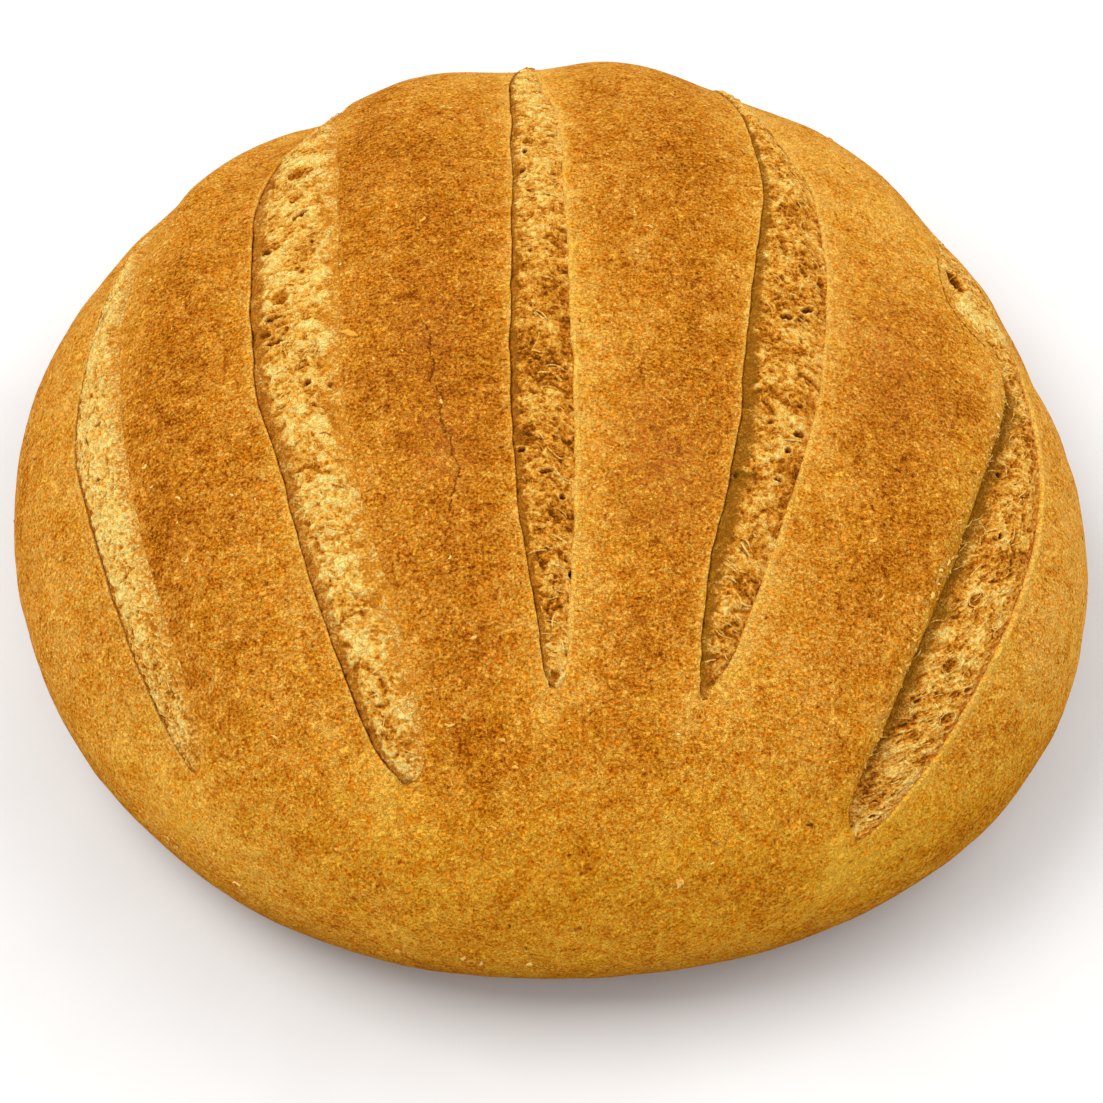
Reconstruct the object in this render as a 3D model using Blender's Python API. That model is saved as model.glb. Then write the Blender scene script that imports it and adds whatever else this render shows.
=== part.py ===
"""A round sourdough loaf with five slashes across its top, in metres, +Z up.

The loaf is one closed solid. It lies on its flat base, with the origin in the middle of that base. +X runs
across the slashes, and -Y is the side where they end short of the rim.

The crust is a square sheet of faces bent over a dome. "Across" runs from -1 at the left rim to 1 at the
right rim, and "along" from -1 at the near rim to 1 at the far rim. The slashes follow lines of nearly
constant "across", which bulge outwards and draw together at both ends as lines of longitude do.
"""

import math

import bmesh
import bpy
import numpy as np

# Driving dimensions of the whole loaf.
HALF_WIDTH = 0.130
HALF_DEPTH = 0.1283
HEIGHT = 0.092  # of the plain dome, before the slashes lower it
WIDEST_HEIGHT = 0.027  # how high the widest line of the side lies
UNDER_ROLL = 0.021  # how far the side turns in below that line
PLAN_POWER = 2.1  # 2 is an ellipse, and more is squarer
DOME_POWER = 2.35
# The plan isn't quite round: how many swells go round it, their share of the radius, and one crest's bearing.
PLAN_SWELLS = ((2, 0.0145, -48.0), (3, 0.025, -37.5), (4, 0.0148, -15.5))
# Distance over the crust that one unit of "across" stands for, near the middle.
SHEET_REACH = 0.150

# Each slash: its rims as (along, left, right) from the far end to the near one, how deep the torn floor lies
# below its left and right rim, how far from each rim the wall reaches the floor, how much the floor crowns,
# and the shallow vale that the slash lies in: its depth, and how far it spreads to the left and to the right.
SLASHES = (
    {
        "name": "left_outer",
        "rims": (
            (0.58, -0.592, -0.584),
            (0.31, -0.627, -0.580),
            (0.14, -0.614, -0.556),
            (-0.05, -0.606, -0.524),
            (-0.25, -0.573, -0.496),
            (-0.44, -0.556, -0.479),
            (-0.54, -0.549, -0.492),
            (-0.61, -0.532, -0.524),
        ),
        "depths": (0.0028, 0.0006),
        "walls": (0.0018, 0.0018),
        "crown": 0.0010,
        "vale": (0.0030, 0.032, 0.009),
    },
    {
        "name": "left_inner",
        "rims": (
            (0.72, -0.330, -0.322),
            (0.45, -0.365, -0.308),
            (0.34, -0.377, -0.283),
            (0.13, -0.348, -0.254),
            (-0.10, -0.309, -0.228),
            (-0.30, -0.269, -0.192),
            (-0.44, -0.237, -0.170),
            (-0.515, -0.213, -0.167),
            (-0.56, -0.190, -0.176),
        ),
        "depths": (0.0034, 0.0006),
        "walls": (0.0018, 0.0030),
        "crown": 0.0010,
        "vale": (0.0026, 0.024, 0.010),
    },
    {
        "name": "middle",
        "rims": (
            (0.76, -0.035, -0.027),
            (0.54, -0.054, -0.012),
            (0.40, -0.051, 0.009),
            (0.20, -0.044, 0.020),
            (0.00, -0.042, 0.027),
            (-0.20, -0.034, 0.031),
            (-0.34, -0.014, 0.025),
            (-0.44, 0.002, 0.010),
        ),
        "depths": (0.0032, 0.0012),
        "walls": (0.0016, 0.0016),
        "crown": 0.0008,
        "vale": (0.0038, 0.020, 0.018),
    },
    {
        "name": "right_inner",
        "rims": (
            (0.70, 0.280, 0.288),
            (0.45, 0.278, 0.320),
            (0.30, 0.268, 0.351),
            (0.12, 0.244, 0.343),
            (-0.03, 0.210, 0.318),
            (-0.18, 0.181, 0.261),
            (-0.32, 0.170, 0.230),
            (-0.44, 0.180, 0.190),
        ),
        "depths": (0.0030, 0.0014),
        "walls": (0.0018, 0.0018),
        "crown": 0.0012,
        "vale": (0.0032, 0.018, 0.026),
    },
    {
        "name": "right_outer",
        "rims": (
            (0.58, 0.580, 0.588),
            (0.30, 0.556, 0.700),
            (0.18, 0.560, 0.697),
            (0.11, 0.622, 0.685),
            (0.04, 0.612, 0.672),
            (-0.10, 0.530, 0.646),
            (-0.22, 0.467, 0.611),
            (-0.42, 0.412, 0.550),
            (-0.57, 0.420, 0.512),
            (-0.67, 0.449, 0.457),
        ),
        "depths": (0.0070, 0.0016),
        "walls": (0.0045, 0.0024),
        "crown": 0.0004,
        "vale": (0.0010, 0.018, 0.012),
    },
)
FULL_OPENING = 0.006  # a slash narrower than this is shallower too
VALE_ENDS = (0.12, 0.20)  # how far a vale fades past its slash's near and far end

# How the sheet is cut into faces.
ROWS = 44
LOBE_COLUMNS = 8
SLASH_COLUMNS = (0.0, 0.13, 0.37, 0.63, 0.87, 1.0)
LEAST_HALF_OPENING = 0.018  # the columns of a slash spread at least this far, also past its ends
SIDE_RINGS = 5

CRUST_COLOUR = (0.62, 0.30, 0.06, 1.0)
CRUST_ROUGHNESS = 0.78


def clear_scene():
    for obj in list(bpy.data.objects):
        bpy.data.objects.remove(obj, do_unlink=True)


def crust_material():
    material = bpy.data.materials.new("crust")
    material.use_nodes = True
    shader = material.node_tree.nodes["Principled BSDF"]
    shader.inputs["Base Color"].default_value = CRUST_COLOUR
    shader.inputs["Roughness"].default_value = CRUST_ROUGHNESS
    shader.inputs["Metallic"].default_value = 0.0
    return material


def ease(low, high, value):
    """0 below low, 1 above high, and a smooth step between them."""
    share = np.clip((value - low) / (high - low), 0.0, 1.0)
    return share * share * (3.0 - 2.0 * share)


def curve_through(stations, values, at):
    """A smooth curve through the stations, level where they turn and past both ends."""
    steps = np.diff(stations)
    rises = np.diff(values) / steps
    slopes = np.zeros(len(stations))
    same_way = rises[:-1] * rises[1:] > 0
    mean = 2.0 * rises[:-1] * rises[1:] / np.where(same_way, rises[:-1] + rises[1:], 1.0)
    slopes[1:-1] = np.where(same_way, mean, 0.0)
    at = np.clip(at, stations[0], stations[-1])
    cell = np.clip(np.searchsorted(stations, at) - 1, 0, len(steps) - 1)
    step = steps[cell]
    share = (at - stations[cell]) / step
    rest = 1.0 - share
    return (
        rest * rest * ((1.0 + 2.0 * share) * values[cell] + share * step * slopes[cell])
        + share * share * ((1.0 + 2.0 * rest) * values[cell + 1] - rest * step * slopes[cell + 1])
    )


def rims(slash, along):
    """The left and the right rim of a slash, as "across" at each "along"."""
    stations, left, right = np.array(slash["rims"])[::-1].T
    return curve_through(stations, left, along), curve_through(stations, right, along)


def plan_radius(bearing):
    power = PLAN_POWER
    across = (np.abs(np.cos(bearing)) / HALF_WIDTH) ** power
    away = (np.abs(np.sin(bearing)) / HALF_DEPTH) ** power
    radius = (across + away) ** (-1.0 / power)
    swell = 1.0
    for count, share, crest in PLAN_SWELLS:
        swell = swell + share * np.cos(count * (bearing - math.radians(crest)))
    return radius * swell


def slash_drop(slash, across, along):
    """How far a slash and its vale lower the crust below the plain dome."""
    left, right = rims(slash, along)
    middle, half = (left + right) / 2.0, (right - left) / 2.0
    far, near = slash["rims"][0][0], slash["rims"][-1][0]
    near_fade, far_fade = VALE_ENDS
    length = ease(near - near_fade, near + near_fade, along) * (1.0 - ease(far, far + far_fade, along))
    vale_depth, left_spread, right_spread = slash["vale"]
    spread = np.where(across < middle, left_spread, right_spread)
    outside = np.maximum(np.abs(across - middle) - half, 0.0) * SHEET_REACH
    vale = vale_depth * length * np.exp(-((outside / spread) ** 2))

    opening = 2.0 * half * SHEET_REACH
    from_left = (across - left) * SHEET_REACH
    from_right = (right - across) * SHEET_REACH
    share = np.clip(from_left / opening, 0.0, 1.0)
    left_depth, right_depth = slash["depths"]
    floor = left_depth * (1.0 - share) + right_depth * share - slash["crown"] * 4.0 * share * (1.0 - share)
    left_wall, right_wall = slash["walls"]
    walls = np.clip(from_left / left_wall, 0.0, 1.0) * np.clip(from_right / right_wall, 0.0, 1.0)
    return vale + floor * walls * ease(0.0, FULL_OPENING, opening)


def crust_points(across, along):
    """The crust's points, from "across" and "along" on the sheet."""
    x = across * np.sqrt(1.0 - along**2 / 2.0)
    y = along * np.sqrt(1.0 - across**2 / 2.0)
    bearing = np.arctan2(y, x)
    tilt = np.minimum(np.hypot(x, y), 1.0) * math.pi / 2.0
    rise = HEIGHT - WIDEST_HEIGHT
    side, top = np.sin(tilt), np.cos(tilt)
    scale = (side**DOME_POWER + top**DOME_POWER) ** (-1.0 / DOME_POWER)
    side, top = side * scale, top * scale
    radius = plan_radius(bearing)
    out, up = side ** (DOME_POWER - 1.0) / radius, top ** (DOME_POWER - 1.0) / rise
    steep = np.hypot(out, up)
    drop = sum(slash_drop(slash, across, along) for slash in SLASHES)
    reach = radius * side - drop * out / steep
    height = WIDEST_HEIGHT + rise * top - drop * up / steep
    return np.stack([reach * np.cos(bearing), reach * np.sin(bearing), height], axis=-1)


def column_places(along):
    """ "Across" of every column at each row: even lobes, and the slashes' own columns between their rims."""
    lobe = (1.0 - np.cos(np.linspace(0.0, math.pi, LOBE_COLUMNS + 1))) / 2.0
    lobe = (lobe + np.linspace(0.0, 1.0, LOBE_COLUMNS + 1)) / 2.0
    places = []
    edge = np.full_like(along, -1.0)
    for slash in SLASHES:
        left, right = rims(slash, along)
        middle, half = (left + right) / 2.0, np.maximum((right - left) / 2.0, LEAST_HALF_OPENING)
        left, right = middle - half, middle + half
        places += [edge + (left - edge) * share for share in lobe[:-1]]
        places += [left + (right - left) * share for share in SLASH_COLUMNS[:-1]]
        edge = right
    places += [edge + (1.0 - edge) * share for share in lobe]
    return np.stack(places, axis=-1)


def side_ring(mesh, border, turn):
    """Draws the open border down by one ring. turn is the angle below the widest line."""
    drawn = bmesh.ops.extrude_edge_only(mesh, edges=border)["geom"]
    for vert in (item for item in drawn if isinstance(item, bmesh.types.BMVert)):
        bearing = math.atan2(vert.co.y, vert.co.x)
        reach = float(plan_radius(bearing)) - UNDER_ROLL * (1.0 - math.cos(turn))
        height = WIDEST_HEIGHT * (1.0 - math.sin(turn))
        vert.co = (reach * math.cos(bearing), reach * math.sin(bearing), height)
    return [item for item in drawn if isinstance(item, bmesh.types.BMEdge)]


def loaf():
    mesh = bmesh.new()
    columns = SLASH_COLUMNS_IN_ALL
    bmesh.ops.create_grid(mesh, x_segments=columns, y_segments=ROWS, size=1.0)
    flat = np.array([vert.co[:] for vert in mesh.verts])
    column = np.rint((flat[:, 0] + 1.0) / 2.0 * columns).astype(int)
    along = flat[:, 1]
    across = column_places(along)[np.arange(len(along)), column]
    for vert, point in zip(mesh.verts, crust_points(across, along)):
        vert.co = point

    border = [edge for edge in mesh.edges if edge.is_boundary]
    for ring in range(1, SIDE_RINGS + 1):
        border = side_ring(mesh, border, math.pi / 2.0 * ring / SIDE_RINGS)
    base = bmesh.ops.contextual_create(mesh, geom=border)["faces"]
    bmesh.ops.poke(mesh, faces=base)
    bmesh.ops.triangulate(mesh, faces=mesh.faces[:], quad_method="SHORT_EDGE")
    bmesh.ops.recalc_face_normals(mesh, faces=mesh.faces[:])

    points = np.array([vert.co[:] for vert in mesh.verts])
    centre = (points.min(axis=0) + points.max(axis=0)) / 2.0
    bmesh.ops.translate(mesh, verts=mesh.verts[:], vec=(-centre[0], -centre[1], 0.0))

    data = bpy.data.meshes.new("loaf")
    mesh.to_mesh(data)
    mesh.free()
    data.shade_smooth()
    data.materials.append(crust_material())
    obj = bpy.data.objects.new("loaf", data)
    bpy.context.scene.collection.objects.link(obj)
    return obj


SLASH_COLUMNS_IN_ALL = (len(SLASHES) + 1) * LOBE_COLUMNS + len(SLASHES) * (len(SLASH_COLUMNS) - 1)

clear_scene()
loaf()
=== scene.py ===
"""The looks of a round sourdough loaf, built around its solid, in metres, +Z up.

The crust is a square sheet of faces bent over a dome. "Across" runs from -1 at the left rim to 1 at the
right rim, and "along" from -1 at the near rim to 1 at the far rim. Five slashes follow lines of nearly
constant "across". The crust opens in a pocket under each slash, and a strip of torn crumb fills the pocket.
"""

import functools
import math

import bmesh
import bpy
import numpy as np
from bpy.props import FloatProperty, FloatVectorProperty, IntProperty, PointerProperty
from mathutils import Matrix, Vector, noise


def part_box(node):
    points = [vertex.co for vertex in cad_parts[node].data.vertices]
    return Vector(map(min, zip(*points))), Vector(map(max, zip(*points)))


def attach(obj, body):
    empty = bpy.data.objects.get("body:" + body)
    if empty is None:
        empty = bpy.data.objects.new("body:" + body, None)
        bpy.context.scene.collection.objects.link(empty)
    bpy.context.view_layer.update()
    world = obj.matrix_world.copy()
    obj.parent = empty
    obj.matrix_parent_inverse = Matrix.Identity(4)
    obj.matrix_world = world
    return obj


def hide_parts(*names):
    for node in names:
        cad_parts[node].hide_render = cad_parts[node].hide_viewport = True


bl_info = {
    "name": "Slashed Sourdough Loaf",
    "version": (1, 0, 0),
    "blender": (4, 5, 0),
    "location": "3D View > Sidebar > Loaf",
    "description": "Builds the crust, the torn crumb and the loose flakes of a round loaf over its solid",
    "category": "Add Mesh",
}

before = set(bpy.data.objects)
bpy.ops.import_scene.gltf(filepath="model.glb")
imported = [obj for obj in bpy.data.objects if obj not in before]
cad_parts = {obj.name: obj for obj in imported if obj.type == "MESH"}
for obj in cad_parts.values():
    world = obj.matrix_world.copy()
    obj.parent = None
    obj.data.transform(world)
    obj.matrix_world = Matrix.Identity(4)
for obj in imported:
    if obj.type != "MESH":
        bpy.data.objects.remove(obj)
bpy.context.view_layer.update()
LOAF_LOW, LOAF_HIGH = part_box("loaf")

# The form, as the solid has it.
HALF_WIDTH = 0.130
HALF_DEPTH = 0.1283
HEIGHT = 0.092  # of the plain dome, before the slashes lower it
WIDEST_HEIGHT = 0.027  # how high the widest line of the side lies
UNDER_ROLL = 0.021  # how far the side turns in below that line
PLAN_POWER = 2.1
DOME_POWER = 2.35
PLAN_SWELLS = ((2, 0.0145, -48.0), (3, 0.025, -37.5), (4, 0.0148, -15.5))
SHEET_REACH = 0.150  # how far over the crust one unit of "across" or "along" goes, near the middle
VALE_ENDS = (0.12, 0.20)  # how far a vale fades past its slash's near and far end
CLOSED_OPENING = 0.0009  # a slash this narrow is shut
OPEN_OPENING = 0.0026  # one this wide is fully open
END_FADE = 0.022  # how far past its ends a slash shuts
RIM_WANDER = 0.0006  # how far a torn rim strays to either side of its smooth line
FULL_OPENING = 0.006  # a slash narrower than this is shallower too
ROLLED_OPENING = 0.011  # the same for the slash whose left edge is rolled
FILLET_RISE = 0.0006  # how far the crumb climbs up the rolled edge's wall
FILLET_REACH = 0.0030  # and from how far away it does

# Each slash, with these values:
# - rims: (along, left, right) from the far end to the near one
# - crown: how far the torn floor between the rims crowns
# - vale: the shallow vale that the slash lies in, as (depth, spread to the left, spread to the right)
# - edges: the forms of its left and right crust edges
# - tones: how pale its crumb is, as (along, tone)
# - clumps: how far pale clumps stand out from the rest
# - bands: how far the band beside the left rim reaches, as (along, reach); it is browned and darkened by
#   painted shadow of that rim
# - relief: what the height of the crumb's relief is multiplied by, where that isn't 1
# - olive and red: how far painted greenish shade darkens that band, and how red the crumb beside the right
#   rim is
# - slant and strands: the lie in degrees of its torn strands, and their number
# - holes: (across, along, half length, half width, depth, slant)
SLASHES = (
    {
        "name": "left_outer",
        "rims": (
            (0.42, -0.613, -0.606),
            (0.35, -0.624, -0.594),
            (0.29, -0.624, -0.580),
            (0.14, -0.616, -0.558),
            (-0.05, -0.617, -0.527),
            (-0.25, -0.576, -0.498),
            (-0.44, -0.556, -0.479),
            (-0.54, -0.549, -0.492),
            (-0.61, -0.532, -0.524),
        ),
        "crown": 0.0010,
        "vale": (0.0030, 0.032, 0.009),
        "edges": ("undercut", "soft"),
        "tones": ((0.50, 0.64), (0.20, 0.88), (-0.20, 0.92), (-0.40, 0.76), (-0.60, 0.64)),
        "clumps": 0.26,
        "bands": ((0.0, 0.0013),),
        "olive_shade": 0.0,
        "red": 0.0,
        "slant": 65.0,
        "strands": 50,
        "holes": (
            (-0.592, 0.205, 0.0014, 0.0005, 0.0014, 45.0),
            (-0.584, -0.060, 0.0008, 0.0005, 0.0012, 60.0),
            (-0.560, -0.040, 0.0008, 0.0004, 0.0012, 30.0),
            (-0.566, 0.130, 0.0006, 0.0004, 0.0012, 80.0),
            (-0.560, -0.130, 0.0007, 0.0005, 0.0012, 20.0),
        ),
    },
    {
        "name": "left_inner",
        "rims": (
            (0.68, -0.356, -0.350),
            (0.55, -0.364, -0.343),
            (0.50, -0.367, -0.325),
            (0.44, -0.378, -0.304),
            (0.34, -0.377, -0.280),
            (0.13, -0.349, -0.250),
            (-0.04, -0.327, -0.233),
            (-0.14, -0.302, -0.222),
            (-0.30, -0.269, -0.192),
            (-0.44, -0.239, -0.167),
            (-0.52, -0.219, -0.162),
            (-0.55, -0.204, -0.169),
            (-0.575, -0.188, -0.181),
        ),
        "crown": 0.0010,
        "vale": (0.0026, 0.024, 0.010),
        "edges": ("undercut", "soft"),
        "tones": ((0.60, 0.74), (0.30, 0.74), (0.05, 0.69), (-0.25, 0.74), (-0.50, 0.76)),
        "clumps": 0.40,
        "bands": ((0.44, 0.0004), (0.30, 0.0030), (-0.40, 0.0026)),
        "olive_shade": 0.0,
        "red": 0.0,
        "slant": 25.0,
        "strands": 60,
        "holes": (
            (-0.302, 0.235, 0.0018, 0.0007, 0.0020, 45.0),
            (-0.343, 0.242, 0.0008, 0.0006, 0.0014, 60.0),
            (-0.336, 0.215, 0.0008, 0.0006, 0.0008, 20.0),
            (-0.335, 0.175, 0.0010, 0.0007, 0.0018, 150.0),
            (-0.307, 0.090, 0.0018, 0.0014, 0.0006, 30.0),
            (-0.312, 0.060, 0.0016, 0.0005, 0.0014, 5.0),
            (-0.321, 0.038, 0.0011, 0.0008, 0.0009, 0.0),
            (-0.307, 0.022, 0.0017, 0.0005, 0.0014, 5.0),
            (-0.314, -0.030, 0.0010, 0.0008, 0.0006, 150.0),
            (-0.237, -0.045, 0.0013, 0.0007, 0.0012, 150.0),
            (-0.265, -0.040, 0.0006, 0.0006, 0.0014, 0.0),
            (-0.278, 0.180, 0.0006, 0.0005, 0.0012, 0.0),
            (-0.350, 0.400, 0.0008, 0.0006, 0.0012, 60.0),
            (-0.322, 0.335, 0.0030, 0.0027, 0.0005, 0.0),
        ),
    },
    {
        "name": "middle",
        "rims": (
            (0.76, -0.035, -0.027),
            (0.54, -0.054, -0.012),
            (0.40, -0.047, 0.015),
            (0.26, -0.042, 0.021),
            (0.00, -0.042, 0.028),
            (-0.20, -0.034, 0.031),
            (-0.34, -0.014, 0.025),
            (-0.41, -0.006, 0.022),
            (-0.452, 0.007, 0.012),
        ),
        "crown": 0.0008,
        "vale": (0.0038, 0.020, 0.018),
        "edges": ("undercut", "lip"),
        "tones": ((0.60, 0.76), (0.26, 0.74), (0.12, 0.50), (-0.08, 0.39), (-0.28, 0.53), (-0.44, 0.74)),
        "clumps": 0.34,
        "bands": ((0.0, 0.0013),),
        "olive_shade": 0.3,
        "red": 0.15,
        "slant": -20.0,
        "strands": 70,
        "holes": (
            (-0.027, 0.321, 0.0008, 0.0005, 0.0016, 80.0),
            (0.005, 0.351, 0.0008, 0.0005, 0.0014, 30.0),
            (-0.001, 0.423, 0.0007, 0.0005, 0.0014, 10.0),
            (-0.029, 0.285, 0.0007, 0.0004, 0.0014, 60.0),
            (-0.029, -0.141, 0.0007, 0.0006, 0.0014, 20.0),
            (-0.001, -0.171, 0.0013, 0.0004, 0.0014, 5.0),
            (0.017, -0.203, 0.0006, 0.0005, 0.0014, 0.0),
            (0.027, -0.297, 0.0006, 0.0005, 0.0020, 80.0),
            (0.009, -0.424, 0.0013, 0.0009, 0.0004, 80.0),
        ),
    },
    {
        "name": "right_inner",
        "rims": (
            (0.70, 0.280, 0.288),
            (0.45, 0.279, 0.322),
            (0.31, 0.279, 0.359),
            (0.19, 0.263, 0.357),
            (0.06, 0.241, 0.336),
            (-0.04, 0.215, 0.306),
            (-0.16, 0.193, 0.265),
            (-0.30, 0.177, 0.233),
            (-0.40, 0.177, 0.209),
            (-0.44, 0.180, 0.190),
        ),
        "crown": 0.0012,
        "vale": (0.0032, 0.018, 0.026),
        "edges": ("undercut", "lip"),
        "tones": (
            (0.60, 0.74),
            (0.40, 0.62),
            (0.28, 0.56),
            (0.10, 0.57),
            (-0.10, 0.55),
            (-0.25, 0.53),
            (-0.44, 0.62),
        ),
        "clumps": 0.42,
        "bands": (
            (0.50, 0.0006),
            (0.30, 0.0018),
            (0.02, 0.0022),
            (-0.14, 0.0032),
            (-0.28, 0.0022),
            (-0.44, 0.0014),
        ),
        "olive_shade": 0.8,
        "red": 0.35,
        "slant": -35.0,
        "strands": 70,
        "holes": (
            (0.285, 0.059, 0.0012, 0.0007, 0.0020, 5.0),
            (0.313, 0.075, 0.0016, 0.0006, 0.0020, 30.0),
            (0.262, 0.275, 0.0007, 0.0005, 0.0012, 0.0),
            (0.269, -0.107, 0.0010, 0.0006, 0.0016, 10.0),
            (0.255, -0.128, 0.0006, 0.0005, 0.0014, 40.0),
            (0.243, -0.165, 0.0008, 0.0004, 0.0014, 0.0),
            (0.200, -0.159, 0.0006, 0.0004, 0.0010, 80.0),
        ),
    },
    {
        "name": "right_outer",
        "rims": (
            (0.47, 0.641, 0.645),
            (0.42, 0.632, 0.652),
            (0.36, 0.605, 0.690),
            (0.30, 0.578, 0.704),
            (0.24, 0.562, 0.704),
            (0.18, 0.553, 0.697),
            (0.11, 0.622, 0.685),
            (0.04, 0.612, 0.672),
            (-0.10, 0.530, 0.646),
            (-0.22, 0.467, 0.611),
            (-0.42, 0.416, 0.549),
            (-0.54, 0.411, 0.526),
            (-0.62, 0.421, 0.513),
            (-0.67, 0.446, 0.502),
            (-0.70, 0.473, 0.481),
        ),
        "crown": 0.0004,
        "vale": (0.0010, 0.018, 0.012),
        "edges": ("rolled", "ridge"),
        "tones": (
            (0.40, 0.66),
            (0.24, 0.62),
            (0.20, 0.90),
            (0.16, 0.90),
            (0.13, 0.60),
            (0.00, 0.61),
            (-0.20, 0.56),
            (-0.45, 0.58),
            (-0.62, 0.74),
        ),
        "clumps": 0.40,
        "bands": ((0.12, 0.0004), (0.02, 0.0062), (-0.48, 0.0060), (-0.60, 0.0030), (-0.66, 0.0006)),
        "relief": 0.70,
        "olive_shade": 1.0,
        "red": 0.80,
        "slant": 35.0,
        "strands": 150,
        "holes": (
            (0.606, 0.268, 0.0042, 0.0030, 0.0046, 75.0),
            (0.664, 0.245, 0.0018, 0.0013, 0.0004, 90.0),
            (0.560, -0.120, 0.0009, 0.0006, 0.0014, 30.0),
            (0.545, -0.215, 0.0008, 0.0006, 0.0014, 70.0),
            (0.530, -0.440, 0.0009, 0.0006, 0.0009, 0.0),
            (0.462, -0.450, 0.0008, 0.0005, 0.0008, 40.0),
            (0.510, -0.305, 0.0017, 0.0013, 0.0006, 20.0),
            (0.491, -0.399, 0.0019, 0.0014, 0.0006, 40.0),
            (0.514, -0.483, 0.0017, 0.0015, 0.0006, 0.0),
            (0.482, -0.652, 0.0008, 0.0006, 0.0014, 30.0),
        ),
    },
)

# The forms that the crust's edge takes at a rim, from the open crust into the pocket: (how far past the rim,
# how far below it). Every form has the same number of points, and the last one stands on the pocket's floor.
POCKET_DEPTH = 0.0028  # below the crumb's mean level
BURIED_SHARE = 0.9  # how deep in the pocket the edges of the crumb lie buried, as a share of its depth
EDGE_FORMS = {
    "undercut": (
        (-0.0016, 0.0),
        (-0.0007, -0.00006),
        (-0.0002, -0.00012),
        (0.0, 0.00002),
        (0.0, 0.0004),
        (-0.0002, 0.0010),
        (-0.0002, None),
    ),
    "lip": (
        (-0.0018, 0.0),
        (-0.0009, -0.00008),
        (-0.0004, -0.00020),
        (-0.0001, -0.00018),
        (0.0001, 0.0002),
        (0.0001, 0.0008),
        (0.0001, None),
    ),
    "ridge": (
        (-0.0030, 0.0),
        (-0.0019, -0.00012),
        (-0.0010, -0.00050),
        (-0.0004, -0.00046),
        (0.0001, 0.0001),
        (0.0001, 0.0008),
        (0.0001, None),
    ),
    "soft": (
        (-0.0036, 0.0),
        (-0.0024, 0.00008),
        (-0.0012, 0.00022),
        (-0.0002, 0.0005),
        (0.0008, 0.0011),
        (0.0018, 0.0019),
        (0.0026, None),
    ),
    "rolled": (
        (-0.0030, 0.0),
        (0.0, 0.0004),
        (0.0012, 0.0014),
        (0.0024, 0.0032),
        (0.0034, 0.0051),
        (0.0042, 0.0066),
        (0.0044, None),
    ),
}
# Where a slash's crumb starts past the left rim and ends past the right one, by the form of the edge.
CRUMB_STARTS = {"undercut": 0.0, "rolled": 0.0024}
CRUMB_ENDS = {"lip": 0.0002, "ridge": 0.0002, "soft": 0.0012}
# The pale line on a right edge, a painted highlight where the lip catches the light, as (how far outside the
# rim, half width).
PALE_LINES = {"lip": (0.0003, 0.0005), "ridge": (0.0008, 0.0010)}
# How far below the crust the crumb meets each form of edge.
CRUMB_LEVELS = {"undercut": 0.0009, "rolled": 0.0066, "lip": 0.0007, "ridge": 0.0007, "soft": 0.0005}
# The rolled slash grows shallower from the first "along" to the second, down to this share of its depth.
FLAP = (0.02, 0.18, 0.16)
SMOOTH_END = (0.24, 0.32)  # from where to where along the same slash the crumb grows smooth
SMOOTHING = 0.75  # and by what share

# How the sheet is cut into faces.
ROWS = 236
LOBE_COLUMNS = 35
POCKET_COLUMNS = 2
LEAST_HALF_OPENING = 0.018  # a shut slash's columns spread this far to either side
SIDE_RINGS = 20  # from the widest line down to the base
CRUMB_COLUMNS = 70
CRUMB_CELL = 0.00025  # length of a crumb face along its slash
# The holes' darkness below is painted shade.
HOLE_SHALLOW = 0.0012  # a hole deeper than this is dark throughout
HOLE_SHADE_TONE = -0.05  # how dark a hole is, on the scale of the slashes' tones
HOLE_SMOOTHING = 0.7  # what share of the relief goes inside a hole
HOLE_RING_HEIGHT = 0.00022  # how far the crumb rises round a hole
SHOULDER = (0.0006, 0.0003)  # how far past its start the crumb reaches its level, and from how far below
SHUT_DROP = 0.0012  # how much deeper the crumb lies where its slash is shut
WALL_REACH = 0.36  # how far from a bubble's wall, as a share of its size, the crumb still rises
CRUMB_OVERRUN = 0.035  # how far the crumb runs past each end of its slash, under the crust

# Strands that close into rings round bubbles, as (which slash, across, along, radius).
RINGS = (
    (1, -0.275, 0.010, 0.0030),
    (1, -0.273, 0.012, 0.0018),
    (1, -0.322, 0.335, 0.0030),
    (4, 0.510, -0.305, 0.0017),
    (4, 0.491, -0.399, 0.0019),
    (4, 0.514, -0.483, 0.0018),
    (4, 0.514, -0.207, 0.0013),
    (4, 0.548, -0.345, 0.0011),
)
STRAND_RADIUS = 0.00016
STRAND_SIDES = 6
STRAND_STEPS = 10

# Dips in the crust near its far edge, as (across, along, reach across, reach along, depth). A depth below
# zero is a swelling.
NOTCHES = (
    (-0.425, 0.64, 0.050, 0.22, 0.0030),
    (-0.360, 0.54, 0.035, 0.10, 0.0015),
    (-0.330, 0.62, 0.030, 0.08, -0.0008),
    (-0.500, 0.43, 0.050, 0.10, -0.0013),
    (0.600, 0.56, 0.070, 0.10, -0.0008),
    (0.390, 0.65, 0.070, 0.10, 0.0010),
    (-0.700, 0.46, 0.055, 0.12, 0.0044),
    (0.725, 0.35, 0.060, 0.08, -0.0012),
    (0.800, 0.17, 0.070, 0.06, 0.0010),
)

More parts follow.
